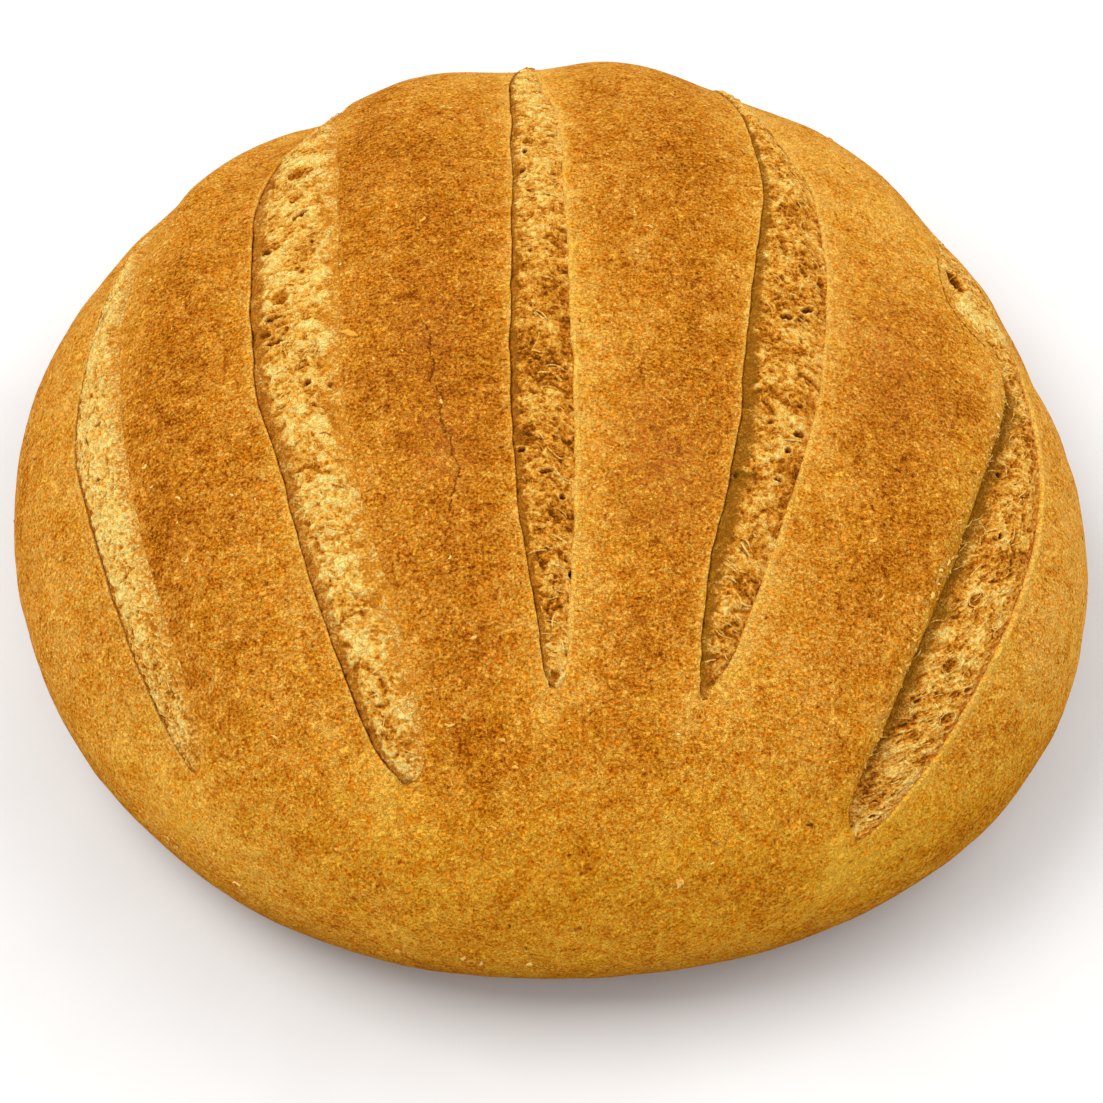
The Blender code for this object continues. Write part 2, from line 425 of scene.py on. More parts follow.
# Hairline cracks in the crust, each a line of (across, along).
CRACKS = (
    (
        (-0.140, 0.036),
        (-0.130, 0.022),
        (-0.129, -0.012),
        (-0.124, -0.024),
        (-0.130, -0.046),
        (-0.115, -0.068),
    ),
    ((-0.115, -0.068), (-0.120, -0.090), (-0.114, -0.115)),
    (
        (-0.106, -0.120),
        (-0.107, -0.140),
        (-0.098, -0.162),
        (-0.098, -0.170),
        (-0.107, -0.200),
        (-0.109, -0.218),
    ),
    ((0.584, 0.310), (0.560, 0.240), (0.551, 0.190), (0.556, 0.155), (0.575, 0.124), (0.600, 0.112)),
)
CRACK_WIDTH = 0.00046  # from a crack's middle to where it fades out
CRACK_BEND = 0.0012  # how far a crack wanders from its line
CRACK_BENDS_A_METRE = 900.0

# Pale torn streaks that run on past the slashes, as (across, along) from and to, and half width.
STREAKS = (
    ((-0.203, -0.560), (-0.221, -0.626), 0.0016),
    ((-0.007, -0.469), (-0.007, -0.499), 0.0010),
    ((0.167, -0.449), (0.161, -0.504), 0.0012),
    ((0.437, -0.690), (0.500, -0.800), 0.0026),
    ((0.500, -0.800), (0.568, -0.946), 0.0018),
    ((-0.528, -0.620), (-0.540, -0.650), 0.0014),
    ((0.107, 0.151), (0.112, 0.140), 0.0014),
)

# Flakes with a place of their own, as (across, along, radius, how burnt).
NAMED_FLAKES = (
    (-0.221, 0.029, 0.0013, 0.0),
    (-0.329, -0.315, 0.0010, 0.0),
    (0.207, -0.740, 0.0016, 0.0),
    (-0.199, -0.978, 0.0014, 0.0),
    (-0.163, -0.994, 0.0013, 0.0),
    (-0.365, -0.994, 0.0014, 0.0),
    (-0.047, -0.994, 0.0012, 0.0),
    (-0.674, -0.908, 0.0013, 0.0),
    (0.310, 0.120, 0.0009, 0.0),
    (-0.071, -0.844, 0.0007, 0.9),
    (-0.047, -0.920, 0.0007, 0.9),
    (0.373, -0.644, 0.0008, 1.0),
    (0.239, -0.664, 0.0006, 0.8),
    (-0.053, -0.644, 0.0006, 0.7),
    (0.499, -0.746, 0.0006, 0.7),
)

YELLOWER = (1.0, 1.0, 0.75)  # what the yellower patches of the crust are tinted by
BROWNED = 0.335  # how brown the plain crust is
# Places where the crust baked browner, as (across, along, reach across, reach along, strength). A strength
# below zero makes a place paler.
BROWNED_PLACES = (
    (-0.80, -0.10, 0.10, 0.40, 0.08),
    (-0.94, 0.00, 0.07, 0.50, 0.08),
    (-0.48, -0.32, 0.09, 0.30, 0.12),
    (-0.42, 0.10, 0.10, 0.42, 0.26),
    (-0.37, -0.25, 0.10, 0.22, 0.10),
    (-0.25, 0.36, 0.05, 0.34, 0.20),
    (-0.16, 0.28, 0.08, 0.26, 0.20),
    (-0.12, -0.04, 0.08, 0.24, 0.22),
    (-0.07, -0.02, 0.04, 0.28, 0.12),
    (-0.12, -0.34, 0.10, 0.18, 0.14),
    (0.05, 0.42, 0.04, 0.26, 0.12),
    (0.15, 0.40, 0.10, 0.22, 0.20),
    (0.12, -0.14, 0.06, 0.18, 0.18),
    (0.19, -0.04, 0.06, 0.34, 0.20),
    (0.09, -0.36, 0.07, 0.14, 0.08),
    (0.43, 0.02, 0.10, 0.22, 0.15),
    (0.52, 0.38, 0.12, 0.20, -0.12),
    (0.36, -0.25, 0.08, 0.20, 0.18),
    (0.00, -0.50, 0.10, 0.05, 0.08),
    (-0.68, -0.66, 0.20, 0.16, -0.06),
    (0.82, -0.20, 0.16, 0.40, -0.12),
    (0.45, -0.72, 0.30, 0.12, -0.06),
    (-0.30, 0.62, 0.60, 0.14, -0.08),
    (-0.13, 0.30, 0.05, 0.14, 0.07),
    (0.10, 0.24, 0.05, 0.14, 0.11),
    (-0.20, -0.05, 0.035, 0.14, 0.14),
    (0.50, 0.02, 0.05, 0.12, 0.18),
    (0.40, -0.20, 0.05, 0.14, 0.11),
    (-0.10, -0.52, 0.05, 0.12, 0.14),
    (0.10, -0.45, 0.05, 0.07, 0.12),
    (0.20, -0.60, 0.05, 0.06, -0.10),
    (0.54, -0.74, 0.10, 0.09, -0.16),
    (0.84, -0.82, 0.09, 0.14, 0.16),
    (-0.41, -0.30, 0.04, 0.08, -0.10),
    (0.00, -0.47, 0.02, 0.05, -0.20),
    (0.17, 0.00, 0.04, 0.10, 0.07),
    (0.34, 0.46, 0.05, 0.10, -0.10),
    (-0.20, 0.15, 0.03, 0.10, -0.07),
    (-0.42, 0.25, 0.06, 0.12, -0.07),
    (0.09, 0.40, 0.04, 0.12, -0.06),
    (-0.54, -0.76, 0.14, 0.12, -0.06),
    (0.40, -0.72, 0.16, 0.10, 0.09),
    (0.07, -0.56, 0.10, 0.08, 0.06),
    (-0.10, -0.33, 0.06, 0.10, 0.05),
    (-0.46, -0.30, 0.04, 0.12, 0.06),
    (-0.20, -0.62, 0.06, 0.06, -0.07),
    (0.50, -0.76, 0.06, 0.06, -0.07),
    (0.80, -0.84, 0.08, 0.12, 0.09),
    (-0.70, -0.02, 0.06, 0.16, -0.09),
    (-0.60, -0.66, 0.12, 0.16, -0.06),
    (-0.385, -0.36, 0.05, 0.12, -0.04),
    (0.68, -0.32, 0.08, 0.20, -0.05),
    (-0.70, -0.45, 0.06, 0.16, -0.03),
    (-0.46, -0.86, 0.12, 0.08, -0.08),
    (0.52, -0.78, 0.05, 0.06, -0.08),
)
# Dull reddish patches on the lobes, as (across, along, reach across, reach along).
RED_PLACES = (
    (-0.135, 0.023, 0.030, 0.070),
    (-0.119, -0.129, 0.035, 0.060),
    (0.121, -0.119, 0.045, 0.060),
    (0.127, -0.195, 0.030, 0.050),
    (-0.233, -0.273, 0.030, 0.050),
    (0.400, 0.020, 0.060, 0.110),
)
RIM_PALER = 0.05  # how much less browned the crust is at a slash's rim
RIM_PALER_REACH = 0.003
# The turned-in side is darkened by painted shade towards the base.
UNDER_HEIGHTS = (0.009, 0.036)  # the side darkens from the second height down to the first
# The base and the turned-in side also take a little of the painted greenish shade.
BASE_LOOKS = {"browned": BROWNED, "olive_shade": 0.2, "warm": 0.8}  # of the turned-in side and the base

# How the loose flakes are scattered.
FLAKE_LIMIT = 0.80  # they lie no nearer the far edge than this, as a distance from the middle of the sheet
FLAKE_RADII = (0.00028, 0.00050)  # the least, and how much larger the largest is
FLAKE_MARGINS = (0.0015, 0.0030)  # how far they keep clear of a slash's right and left rim
BURNT_SHARE = 0.12  # of the scattered flakes
# A flake's width, bend, curl and thickness, as shares of its radius, and how uneven its outline is.
FLAKE_WIDTH = 0.48
FLAKE_BEND = 0.3
FLAKE_CURL = 0.25
FLAKE_THICKNESS = 0.30
FLAKE_UNEVENNESS = 1.1
FRINGE_RADII = (0.00026, 0.00060)
FRINGE_SPAN = (-0.62, 0.08)  # from where to where along the rolled edge it is fringed
FRINGE_INSETS = (-0.0012, 0.0022)  # how far past the rim the fringe lies

# --- the plain form, its vales and its slashes ----------------------------------------------------------


def ease(low, high, value):
    """0 below low, 1 above high, and a smooth step between them."""
    share = np.clip((value - low) / (high - low), 0.0, 1.0)
    return share * share * (3.0 - 2.0 * share)


def hump(centre, reach, value):
    """1 at the centre, falling away smoothly to both sides."""
    return np.exp(-(((value - centre) / reach) ** 2))


def curve_through(stations, values, at):
    """A smooth curve through the stations, level where they turn and past both ends."""
    steps = np.diff(stations)
    rises = np.diff(values) / steps
    slopes = np.zeros(len(stations))
    same_way = rises[:-1] * rises[1:] > 0
    mean = 2.0 * rises[:-1] * rises[1:] / np.where(same_way, rises[:-1] + rises[1:], 1.0)
    slopes[1:-1] = np.where(same_way, mean, 0.0)
    at = np.clip(at, stations[0], stations[-1])
    cell = np.clip(np.searchsorted(stations, at) - 1, 0, len(steps) - 1)
    step = steps[cell]
    share = (at - stations[cell]) / step
    rest = 1.0 - share
    return (
        rest * rest * ((1.0 + 2.0 * share) * values[cell] + share * step * slopes[cell])
        + share * share * ((1.0 + 2.0 * rest) * values[cell + 1] - rest * step * slopes[cell + 1])
    )


def rims(slash, along):
    """The left and the right rim of a slash, as "across" at each "along"."""
    stations, left, right = np.array(slash["rims"])[::-1].T
    return curve_through(stations, left, along), curve_through(stations, right, along)


def plan_radius(bearing):
    """How far the loaf's widest line lies from the middle, at each bearing."""
    across = (np.abs(np.cos(bearing)) / HALF_WIDTH) ** PLAN_POWER
    away = (np.abs(np.sin(bearing)) / HALF_DEPTH) ** PLAN_POWER
    radius = (across + away) ** (-1.0 / PLAN_POWER)
    swell = 1.0
    for count, share, crest in PLAN_SWELLS:
        swell = swell + share * np.cos(count * (bearing - math.radians(crest)))
    return radius * swell


def plan_shift():
    """From the middle of the plan's own box to the middle of the solid's."""
    bearing = np.linspace(-math.pi, math.pi, 3601)
    radius = plan_radius(bearing)
    x, y = radius * np.cos(bearing), radius * np.sin(bearing)
    middle = (LOAF_LOW + LOAF_HIGH) / 2.0
    across = middle.x - (x.min() + x.max()) / 2.0
    away = middle.y - (y.min() + y.max()) / 2.0
    return np.array([across, away, LOAF_LOW.z])


SHIFT = plan_shift()


def vale_drop(across, along):
    """How far the vales of all slashes lower the crust below the plain dome."""
    drop = np.zeros_like(across)
    near_fade, far_fade = VALE_ENDS
    for slash in SLASHES:
        left, right = rims(slash, along)
        middle, half = (left + right) / 2.0, (right - left) / 2.0
        far, near = slash["rims"][0][0], slash["rims"][-1][0]
        length = ease(near - near_fade, near + near_fade, along) * (1.0 - ease(far, far + far_fade, along))
        depth, left_spread, right_spread = slash["vale"]
        spread = np.where(across < middle, left_spread, right_spread)
        outside = np.maximum(np.abs(across - middle) - half, 0.0) * SHEET_REACH
        drop += depth * length * np.exp(-((outside / spread) ** 2))
    for place_across, place_along, reach_across, reach_along, depth in NOTCHES:
        drop += depth * hump(place_across, reach_across, across) * hump(place_along, reach_along, along)
    return drop


def depth_share(slash, along):
    """What share of its full depth a slash has. A rolled one is shallow past its flap and where narrow."""
    if slash["edges"][0] != "rolled":
        return np.ones_like(along)
    near, far, share = FLAP
    left, right = rims(slash, along)
    narrowed = ease(0.0, ROLLED_OPENING, (right - left) * SHEET_REACH)
    return (1.0 - (1.0 - share) * ease(near, far, along)) * narrowed


def floor_drop(slash, share, opening, along):
    """How far the crumb lies below the rims, share running from the left rim to the right one."""
    share = np.clip(share, 0.0, 1.0)
    left_depth, right_depth = (CRUMB_LEVELS[form] for form in slash["edges"])
    floor = left_depth * (1.0 - share) ** 1.6 + right_depth * share
    floor = floor - slash["crown"] * 4.0 * share * (1.0 - share)
    return floor * ease(0.0, FULL_OPENING, opening) * depth_share(slash, along)


def fillet_rise(slash, along, from_start):
    """How far the crumb rises where it meets a rolled wall."""
    rolled = slash["edges"][0] == "rolled"
    return FILLET_RISE * rolled * (1.0 - ease(0.0, FILLET_REACH, from_start)) * depth_share(slash, along)


def sheet_points(across, along, drop):
    """Points of the bent sheet, lowered by drop along the plain dome's own normal."""
    x = across * np.sqrt(1.0 - along**2 / 2.0)
    y = along * np.sqrt(1.0 - across**2 / 2.0)
    bearing = np.arctan2(y, x)
    tilt = np.minimum(np.hypot(x, y), 1.0) * math.pi / 2.0
    rise = HEIGHT - WIDEST_HEIGHT
    side, top = np.sin(tilt), np.cos(tilt)
    scale = (side**DOME_POWER + top**DOME_POWER) ** (-1.0 / DOME_POWER)
    side, top = side * scale, top * scale
    radius = plan_radius(bearing)
    out, up = side ** (DOME_POWER - 1.0) / radius, top ** (DOME_POWER - 1.0) / rise
    steep = np.hypot(out, up)
    reach = radius * side - drop * out / steep
    height = WIDEST_HEIGHT + rise * top - drop * up / steep
    return np.stack([reach * np.cos(bearing), reach * np.sin(bearing), height], axis=-1) + SHIFT


def side_points(bearing, turn, drop):
    """Points of the side below its widest line. turn is the angle below that line, drop is inwards."""
    out, down = np.cos(turn) / UNDER_ROLL, np.sin(turn) / WIDEST_HEIGHT
    steep = np.hypot(out, down)
    reach = plan_radius(bearing) - UNDER_ROLL * (1.0 - np.cos(turn)) - drop * out / steep
    height = WIDEST_HEIGHT * (1.0 - np.sin(turn)) + drop * down / steep
    return np.stack([reach * np.cos(bearing), reach * np.sin(bearing), height], axis=-1) + SHIFT


# --- uneven surfaces ------------------------------------------------------------------------------------

SEED_STEP = np.array([17.3, 31.7, 11.9])  # moves a pattern to a part of itself that no other seed uses


def spots(points, size, seed):
    """Smooth unevenness from about -1 to 1, whose features are about that size."""
    places = points / size + seed * SEED_STEP
    return np.array([noise.noise(place) for place in places.tolist()])


def cell_walls(points, size, seed):
    """1 on the walls between bubbles of about that size, falling to 0 inside them."""
    places = points / size + seed * SEED_STEP
    walls = np.empty(len(places))
    for index, place in enumerate(places.tolist()):
        nearest = noise.voronoi(place)[0]
        walls[index] = nearest[1] - nearest[0]
    return 1.0 - np.clip(walls / WALL_REACH, 0.0, 1.0)


def crust_lumps(points):
    """How far the crust's slow unevenness lowers it, never above the plain form."""
    form = bpy.context.scene.loaf_form
    lumps = 0.55 * spots(points, 0.024, 1) + 0.30 * spots(points, 0.0095, 2) + 0.15 * spots(points, 0.0042, 3)
    return form.lump_height * np.clip(0.5 + lumps, 0.0, 1.3)


# --- the crust ------------------------------------------------------------------------------------------


@functools.lru_cache
def wander_table(seed):
    """How far a torn rim strays from its smooth line, at even steps along it."""
    table = np.linspace(-1.0, 1.0, 601)
    places = np.stack([table * SHEET_REACH, np.zeros_like(table), np.zeros_like(table)], axis=-1)
    stray = 0.65 * spots(places, 0.0090, seed) + 0.35 * spots(places, 0.0026, seed)
    return table, stray * RIM_WANDER / SHEET_REACH


def rim_wander(along, seed):
    """How far a torn rim strays at each "along"."""
    return np.interp(along, *wander_table(seed))


def opened(slash, along):
    """The rims, the opening in metres, and 0 where the slash is shut to 1 where it is open."""
    left, right = rims(slash, along)
    opening = (right - left) * SHEET_REACH
    far, near = slash["rims"][0][0], slash["rims"][-1][0]
    length = ease(near - END_FADE, near, along) * (1.0 - ease(far, far + END_FADE, along))
    open_share = ease(CLOSED_OPENING, OPEN_OPENING, opening) * length
    seed = 200.0 + 10.0 * slash["rims"][0][1]
    left = left + rim_wander(along, seed) * open_share
    right = right + rim_wander(along, seed + 5.0) * open_share
    return left, right, opening, open_share


def edge_columns(slash, side, along):
    """Across and drop of one crust edge's columns, from the open crust into the pocket."""
    left, right, opening, open_share = opened(slash, along)
    rim, way = (left, 1.0) if side == 0 else (right, -1.0)
    pocket = floor_drop(slash, float(side), opening, along) + POCKET_DEPTH
    deep = depth_share(slash, along)
    columns = []
    for inset, drop in EDGE_FORMS[slash["edges"][side]]:
        lowered = pocket if drop is None else drop * deep
        columns.append((rim + way * inset / SHEET_REACH, lowered * open_share))
    return columns


def slash_columns(slash, along):
    """Across and drop of all of one slash's columns, from left to right."""
    left, right, opening, open_share = opened(slash, along)
    pockets = []
    for number in range(1, POCKET_COLUMNS + 1):
        share = number / (POCKET_COLUMNS + 1.0)
        pocket = (floor_drop(slash, share, opening, along) + POCKET_DEPTH) * open_share
        pockets.append((left + (right - left) * share, pocket))
    columns = edge_columns(slash, 0, along) + pockets + edge_columns(slash, 1, along)[::-1]
    middle = (left + right) / 2.0
    spread = np.linspace(-LEAST_HALF_OPENING, LEAST_HALF_OPENING, len(columns))
    return [
        (middle + shut + (across - middle - shut) * open_share, drop)
        for (across, drop), shut in zip(columns, spread)
    ]


def crust_columns(along):
    """Across and drop of every column at each row: even lobes, and the slashes' own columns between them."""
    lobe = (1.0 - np.cos(np.linspace(0.0, math.pi, LOBE_COLUMNS + 1))) / 2.0
    lobe = (lobe + np.linspace(0.0, 1.0, LOBE_COLUMNS + 1)) / 2.0
    level = np.zeros_like(along)
    columns = []
    edge = (np.full_like(along, -1.0), level)
    for slash in SLASHES:
        own = slash_columns(slash, along)
        columns += [(edge[0] + (own[0][0] - edge[0]) * share, level) for share in lobe[1:-1]]
        columns += own
        edge = own[-1]
    columns += [(edge[0] + (1.0 - edge[0]) * share, level) for share in lobe[1:]]
    columns.insert(0, (np.full_like(along, -1.0), level))
    return np.stack([column[0] for column in columns], -1), np.stack([column[1] for column in columns], -1)


def rim_distances(across, along):
    """Distance in metres outside the left and outside the right rim of each slash, by slash."""
    found = []
    for slash in SLASHES:
        left, right, _, open_share = opened(slash, along)
        found.append(((left - across) * SHEET_REACH, (across - right) * SHEET_REACH, open_share))
    return found


def along_line(across, along, start, end):
    """Distance in metres from the line between two places of the sheet."""
    start, end = np.array(start) * SHEET_REACH, np.array(end) * SHEET_REACH
    run = end - start
    beside, ahead = across * SHEET_REACH - start[0], along * SHEET_REACH - start[1]
    share = np.clip((beside * run[0] + ahead * run[1]) / (run @ run), 0.0, 1.0)
    return np.hypot(beside - share * run[0], ahead - share * run[1])


def crust_masks(across, along):
    """The crust's looks over its sheet, by name: how browned, red, torn and warm it is; how pale the rims'
    lips are painted as highlight; the painted greenish shade of the lower right and of the lobe beside the
    rolled slash;
    and the painted shade on the wall of the rolled edge."""
    browned = np.full_like(across, BROWNED)
    for place_across, place_along, reach_across, reach_along, strength in BROWNED_PLACES:
        browned += strength * hump(place_across, reach_across, across) * hump(place_along, reach_along, along)
    red = np.zeros_like(across)
    for place_across, place_along, reach_across, reach_along in RED_PLACES:
        red += hump(place_across, reach_across, across) * hump(place_along, reach_along, along)
    pale = np.zeros_like(across)
    torn = np.zeros_like(across)
    wall = np.zeros_like(across)
    for slash, (left_of, right_of, open_share) in zip(SLASHES, rim_distances(across, along)):
        outside = np.maximum(np.maximum(left_of, right_of), 0.0)
        browned -= RIM_PALER * open_share * np.exp(-outside / RIM_PALER_REACH)
        # Painted highlight: a pale line where each right lip catches the light, and a paler strip beside it.
        if slash["edges"][1] != "soft":
            place, width = PALE_LINES[slash["edges"][1]]
            pale += open_share * hump(place, width, right_of) * 0.9
            pale += open_share * hump(0.0020, 0.0026, right_of) * 0.20
        else:
            right_half = right_of > left_of
            torn += open_share * (1.0 - ease(-0.0012, 0.0020, right_of)) * right_half * 0.60
        if slash["edges"][0] == "undercut":
            # A painted highlight on the undercut left lip.
            pale += open_share * hump(0.0003, 0.0004, left_of) * 0.60
        else:
            deep = (depth_share(slash, along) - FLAP[2]) / (1.0 - FLAP[2])
            # Painted shade on the rolled edge's wall, which faces away from the light.
            wall += open_share * (1.0 - ease(-0.0020, 0.0010, left_of)) * (left_of > right_of) * deep
    for start, end, half_width in STREAKS:
        torn += hump(0.0, half_width, along_line(across, along, start, end))
    # Painted greenish shade on the lower right, away from the light, and on the lobe's side that turns away
    # beside the rolled slash.
    olive_shade = 0.6 * ease(0.35, 0.85, across) * ease(-0.3, -0.8, along)
    olive_shade += 0.8 * hump(0.50, 0.05, across) * hump(-0.28, 0.16, along)
    warm = ease(-0.35, -0.75, along) * (0.5 + 0.5 * ease(-0.6, -0.1, across))
    return {
        "browned": browned,
        "red": np.clip(red, 0.0, 1.0),
        "pale": pale,
        "torn": np.clip(torn, 0.0, 1.0),
        "wall": np.clip(wall, 0.0, 1.0),
        "olive_shade": np.clip(olive_shade, 0.0, 1.0),
        "warm": warm,
    }


def border_edges(mesh):
    """The edges at an open border of the mesh."""
    return [edge for edge in mesh.edges if edge.is_boundary]


def float_attribute(data, name, values):
    """Keeps one look of every point with the mesh, for its material to read."""
    layer = data.attributes.new(name, "FLOAT", "POINT")
    layer.data.foreach_set("value", np.asarray(values, np.float32))


def finished(mesh, name, material):
    """Makes the object of a finished mesh, smooth, riding on the loaf's one body."""
    bmesh.ops.recalc_face_normals(mesh, faces=mesh.faces[:])
    data = bpy.data.meshes.new(name)
    mesh.to_mesh(data)
    mesh.free()
    data.shade_smooth()
    data.materials.append(material)
    obj = bpy.data.objects.new(name, data)
    bpy.context.scene.collection.objects.link(obj)
    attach(obj, "root")
    return obj


def inside_box(points):
    """The points, held inside the solid's own box."""
    return np.clip(points, np.array(LOAF_LOW), np.array(LOAF_HIGH))


def draw_side(mesh):
    """Draws the sheet's border down in rings. Returns their points, how far down each is turned, and the
    last border."""
    border = border_edges(mesh)
    ring_verts, ring_turns = [], []
    for ring in range(1, SIDE_RINGS + 1):
        drawn = bmesh.ops.extrude_edge_only(mesh, edges=border)["geom"]
        verts = [item for item in drawn if isinstance(item, bmesh.types.BMVert)]
        ring_verts += verts
        ring_turns += [math.pi / 2.0 * ring / SIDE_RINGS] * len(verts)
        border = [item for item in drawn if isinstance(item, bmesh.types.BMEdge)]
    return ring_verts, np.array(ring_turns), border


def build_crust():
    """The crust: one closed sheet over the dome, drawn down the side and closed at the base."""
    slash_cells = 2 * len(EDGE_FORMS["lip"]) + POCKET_COLUMNS - 1
    columns = (len(SLASHES) + 1) * LOBE_COLUMNS + len(SLASHES) * slash_cells
    mesh = bmesh.new()
    bmesh.ops.create_grid(mesh, x_segments=columns, y_segments=ROWS, size=1.0)
    flat = np.array([vert.co[:] for vert in mesh.verts])
    column = np.rint((flat[:, 0] + 1.0) / 2.0 * columns).astype(int)
    along = flat[:, 1]
    each = np.arange(len(along))
    all_across, all_drop = crust_columns(along)
    across, drop = all_across[each, column], all_drop[each, column]
    vale = vale_drop(across, along)
    lumps = crust_lumps(sheet_points(across, along, vale))
    points = sheet_points(across, along, vale + drop + lumps)
    masks = crust_masks(across, along)
    for vert, point in zip(mesh.verts, sheet_points(across, along, vale)):
        vert.co = point

    ring_verts, turn, border = draw_side(mesh)
    at = np.array([vert.co[:] for vert in ring_verts]) - SHIFT
    bearing = np.arctan2(at[:, 1], at[:, 0])
    plain = side_points(bearing, turn, np.zeros_like(turn))
    sides = side_points(bearing, turn, crust_lumps(plain) * np.cos(turn))

    base = bmesh.ops.contextual_create(mesh, geom=border)["faces"]
    for vert, point in zip(mesh.verts, inside_box(points)):
        vert.co = point
    for vert, point in zip(ring_verts, inside_box(sides)):
        vert.co = point
    bmesh.ops.poke(mesh, faces=base)

    all_points = np.array([vert.co[:] for vert in mesh.verts])
    more = len(all_points) - len(points)
    obj = finished(mesh, "crust", crust_material())
    for name, mask in masks.items():
        float_attribute(obj.data, name, np.concatenate([mask, np.full(more, BASE_LOOKS.get(name, 0.0))]))
    # Painted shade on the turned-in side, darker towards the base.
    float_attribute(obj.data, "under", 1.0 - ease(*UNDER_HEIGHTS, all_points[:, 2] - LOAF_LOW.z))
    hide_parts("loaf")
    return obj


# --- the crumb ------------------------------------------------------------------------------------------


def crumb_relief(places, slash, seed):
    """Height of the torn crumb over its mean level, and how pale it is, at places in metres on the strip; the
    paleness paints shade into the pits and light onto the walls, over the crumb's own clumps and grain.
    """
    slant = math.radians(slash["slant"])
    run = places[:, 0] * math.cos(slant) + places[:, 1] * math.sin(slant)
    rise = places[:, 1] * math.cos(slant) - places[:, 0] * math.sin(slant)
    level = np.zeros_like(run)
    turned = np.stack([run * 0.80, rise, level], axis=-1)
    warp = np.stack([spots(turned, 0.0028, seed), spots(turned, 0.0028, seed + 1), level], axis=-1)
    bent = turned + warp * 0.0013
    small_clump = ease(-0.20, 0.25, spots(bent, 0.0030, seed + 2))
    large_clump = ease(-0.20, 0.30, spots(bent, 0.0062, seed + 7))
    clump = 0.6 * small_clump + 0.4 * large_clump
    web = cell_walls(bent, 0.0026, seed + 3)
    small_web = cell_walls(bent, 0.0012, seed + 4)
    pit = ease(0.12, 0.50, spots(bent, 0.0012, seed + 5))
    fine = spots(turned, 0.00062, seed + 6)
    height = 0.26 * (web - 0.35) + 0.34 * (small_web - 0.35) + 0.20 * (clump - 0.5)
    height = height - 0.55 * (pit - 0.2) + 0.26 * fine
    # Pits are painted darker as shade, and walls paler as lit; clumps and fine grain are the crumb's own
    # tone.
    pale = 0.12 * (web - 0.35) + 0.24 * (small_web - 0.35) - 0.26 * (pit - 0.2) + 0.34 * fine
    pale += slash["clumps"] * (clump - 0.5)
    return height, pale


def crumb_surface(number, across, along):
    """The crumb of a slash at places of the sheet: how far it lies below it, and its looks by name."""
    slash = SLASHES[number]
    left, right, opening, open_share = opened(slash, along)
    from_left, from_right = (across - left) * SHEET_REACH, (right - across) * SHEET_REACH
    places = np.stack([across * SHEET_REACH, along * SHEET_REACH], axis=-1)
    height, pale = crumb_relief(places, slash, 20 + 10 * number)
    stations, reaches = np.array(slash["bands"])[::-1].T
    stray = 0.35 * spots(np.stack([along * SHEET_REACH] * 3, -1), 0.004, 90 + number)
    ragged = np.interp(along, stations, reaches) * (1.0 + stray)
    start = CRUMB_STARTS[slash["edges"][0]] * depth_share(slash, along)
    # The band beside the left rim: browned, and darkened by painted shadow of that rim.
    band = 1.0 - ease(0.55, 1.25, (from_left + height * 0.0007) / ragged)
    holed = np.zeros_like(across)
    ringed = np.zeros_like(across)
    drop = vale_drop(across, along) + floor_drop(slash, from_left / np.maximum(opening, 1e-6), opening, along)
    for hole_across, hole_along, half_length, half_width, depth, slant in slash["holes"]:
        turn = math.radians(slant)
        beside, ahead = (across - hole_across) * SHEET_REACH, (along - hole_along) * SHEET_REACH
        run = (beside * math.cos(turn) + ahead * math.sin(turn)) / half_length
        rise = (ahead * math.cos(turn) - beside * math.sin(turn)) / half_width
        away = np.hypot(run, rise) + 0.14 * height * min(HOLE_SHALLOW / depth, 1.0)
        dent = 1.0 - ease(0.70, 1.10, away)
        drop += depth * dent
        holed = np.maximum(holed, np.minimum(dent * depth / HOLE_SHALLOW, 1.0))
        ringed = np.maximum(ringed, hump(1.40, 0.28, away))
    form = bpy.context.scene.loaf_form
    relief = height * form.crumb_relief * (1.0 - 0.3 * band) * ease(0.0, FULL_OPENING * 0.7, opening)
    relief = relief * slash.get("relief", 1.0) * (1.0 - HOLE_SMOOTHING * holed)
    if slash["edges"][1] == "soft":
        relief = relief * ease(-0.0010, 0.0014, from_right)
    if slash["edges"][0] == "rolled":
        relief = relief * (1.0 - SMOOTHING * ease(*SMOOTH_END, along))
    drop -= relief + ringed * HOLE_RING_HEIGHT
    shoulder_reach, shoulder_drop = SHOULDER
    shoulder = 1.0 - ease(0.0, shoulder_reach, from_left - start)
    rise = fillet_rise(slash, along, from_left - start)
    drop += shoulder * shoulder_drop + (1.0 - open_share) * SHUT_DROP - rise
    stations, tones = np.array(slash["tones"])[::-1].T
    tone = np.interp(along, stations, tones) + pale + 0.20 * ringed - 0.22 * band
    # Holes are painted dark as shade.
    tone = tone * (1.0 - holed) + HOLE_SHADE_TONE * holed
    soft = 1.0 - ease(0.0, 0.0032, from_right + 0.0036 * pale)
    looks = {
        "tone": tone,
        "band": band * (1.0 - holed),
        # Greenish painted shade over that band in the deeper slashes.
        "olive_shade": band * (1.0 - holed) * slash["olive_shade"],
        "red": slash["red"] * (1.0 - ease(0.0006, 0.0034, from_right)),
        "soft": soft * (slash["edges"][1] == "soft"),
    }
    return drop, looks


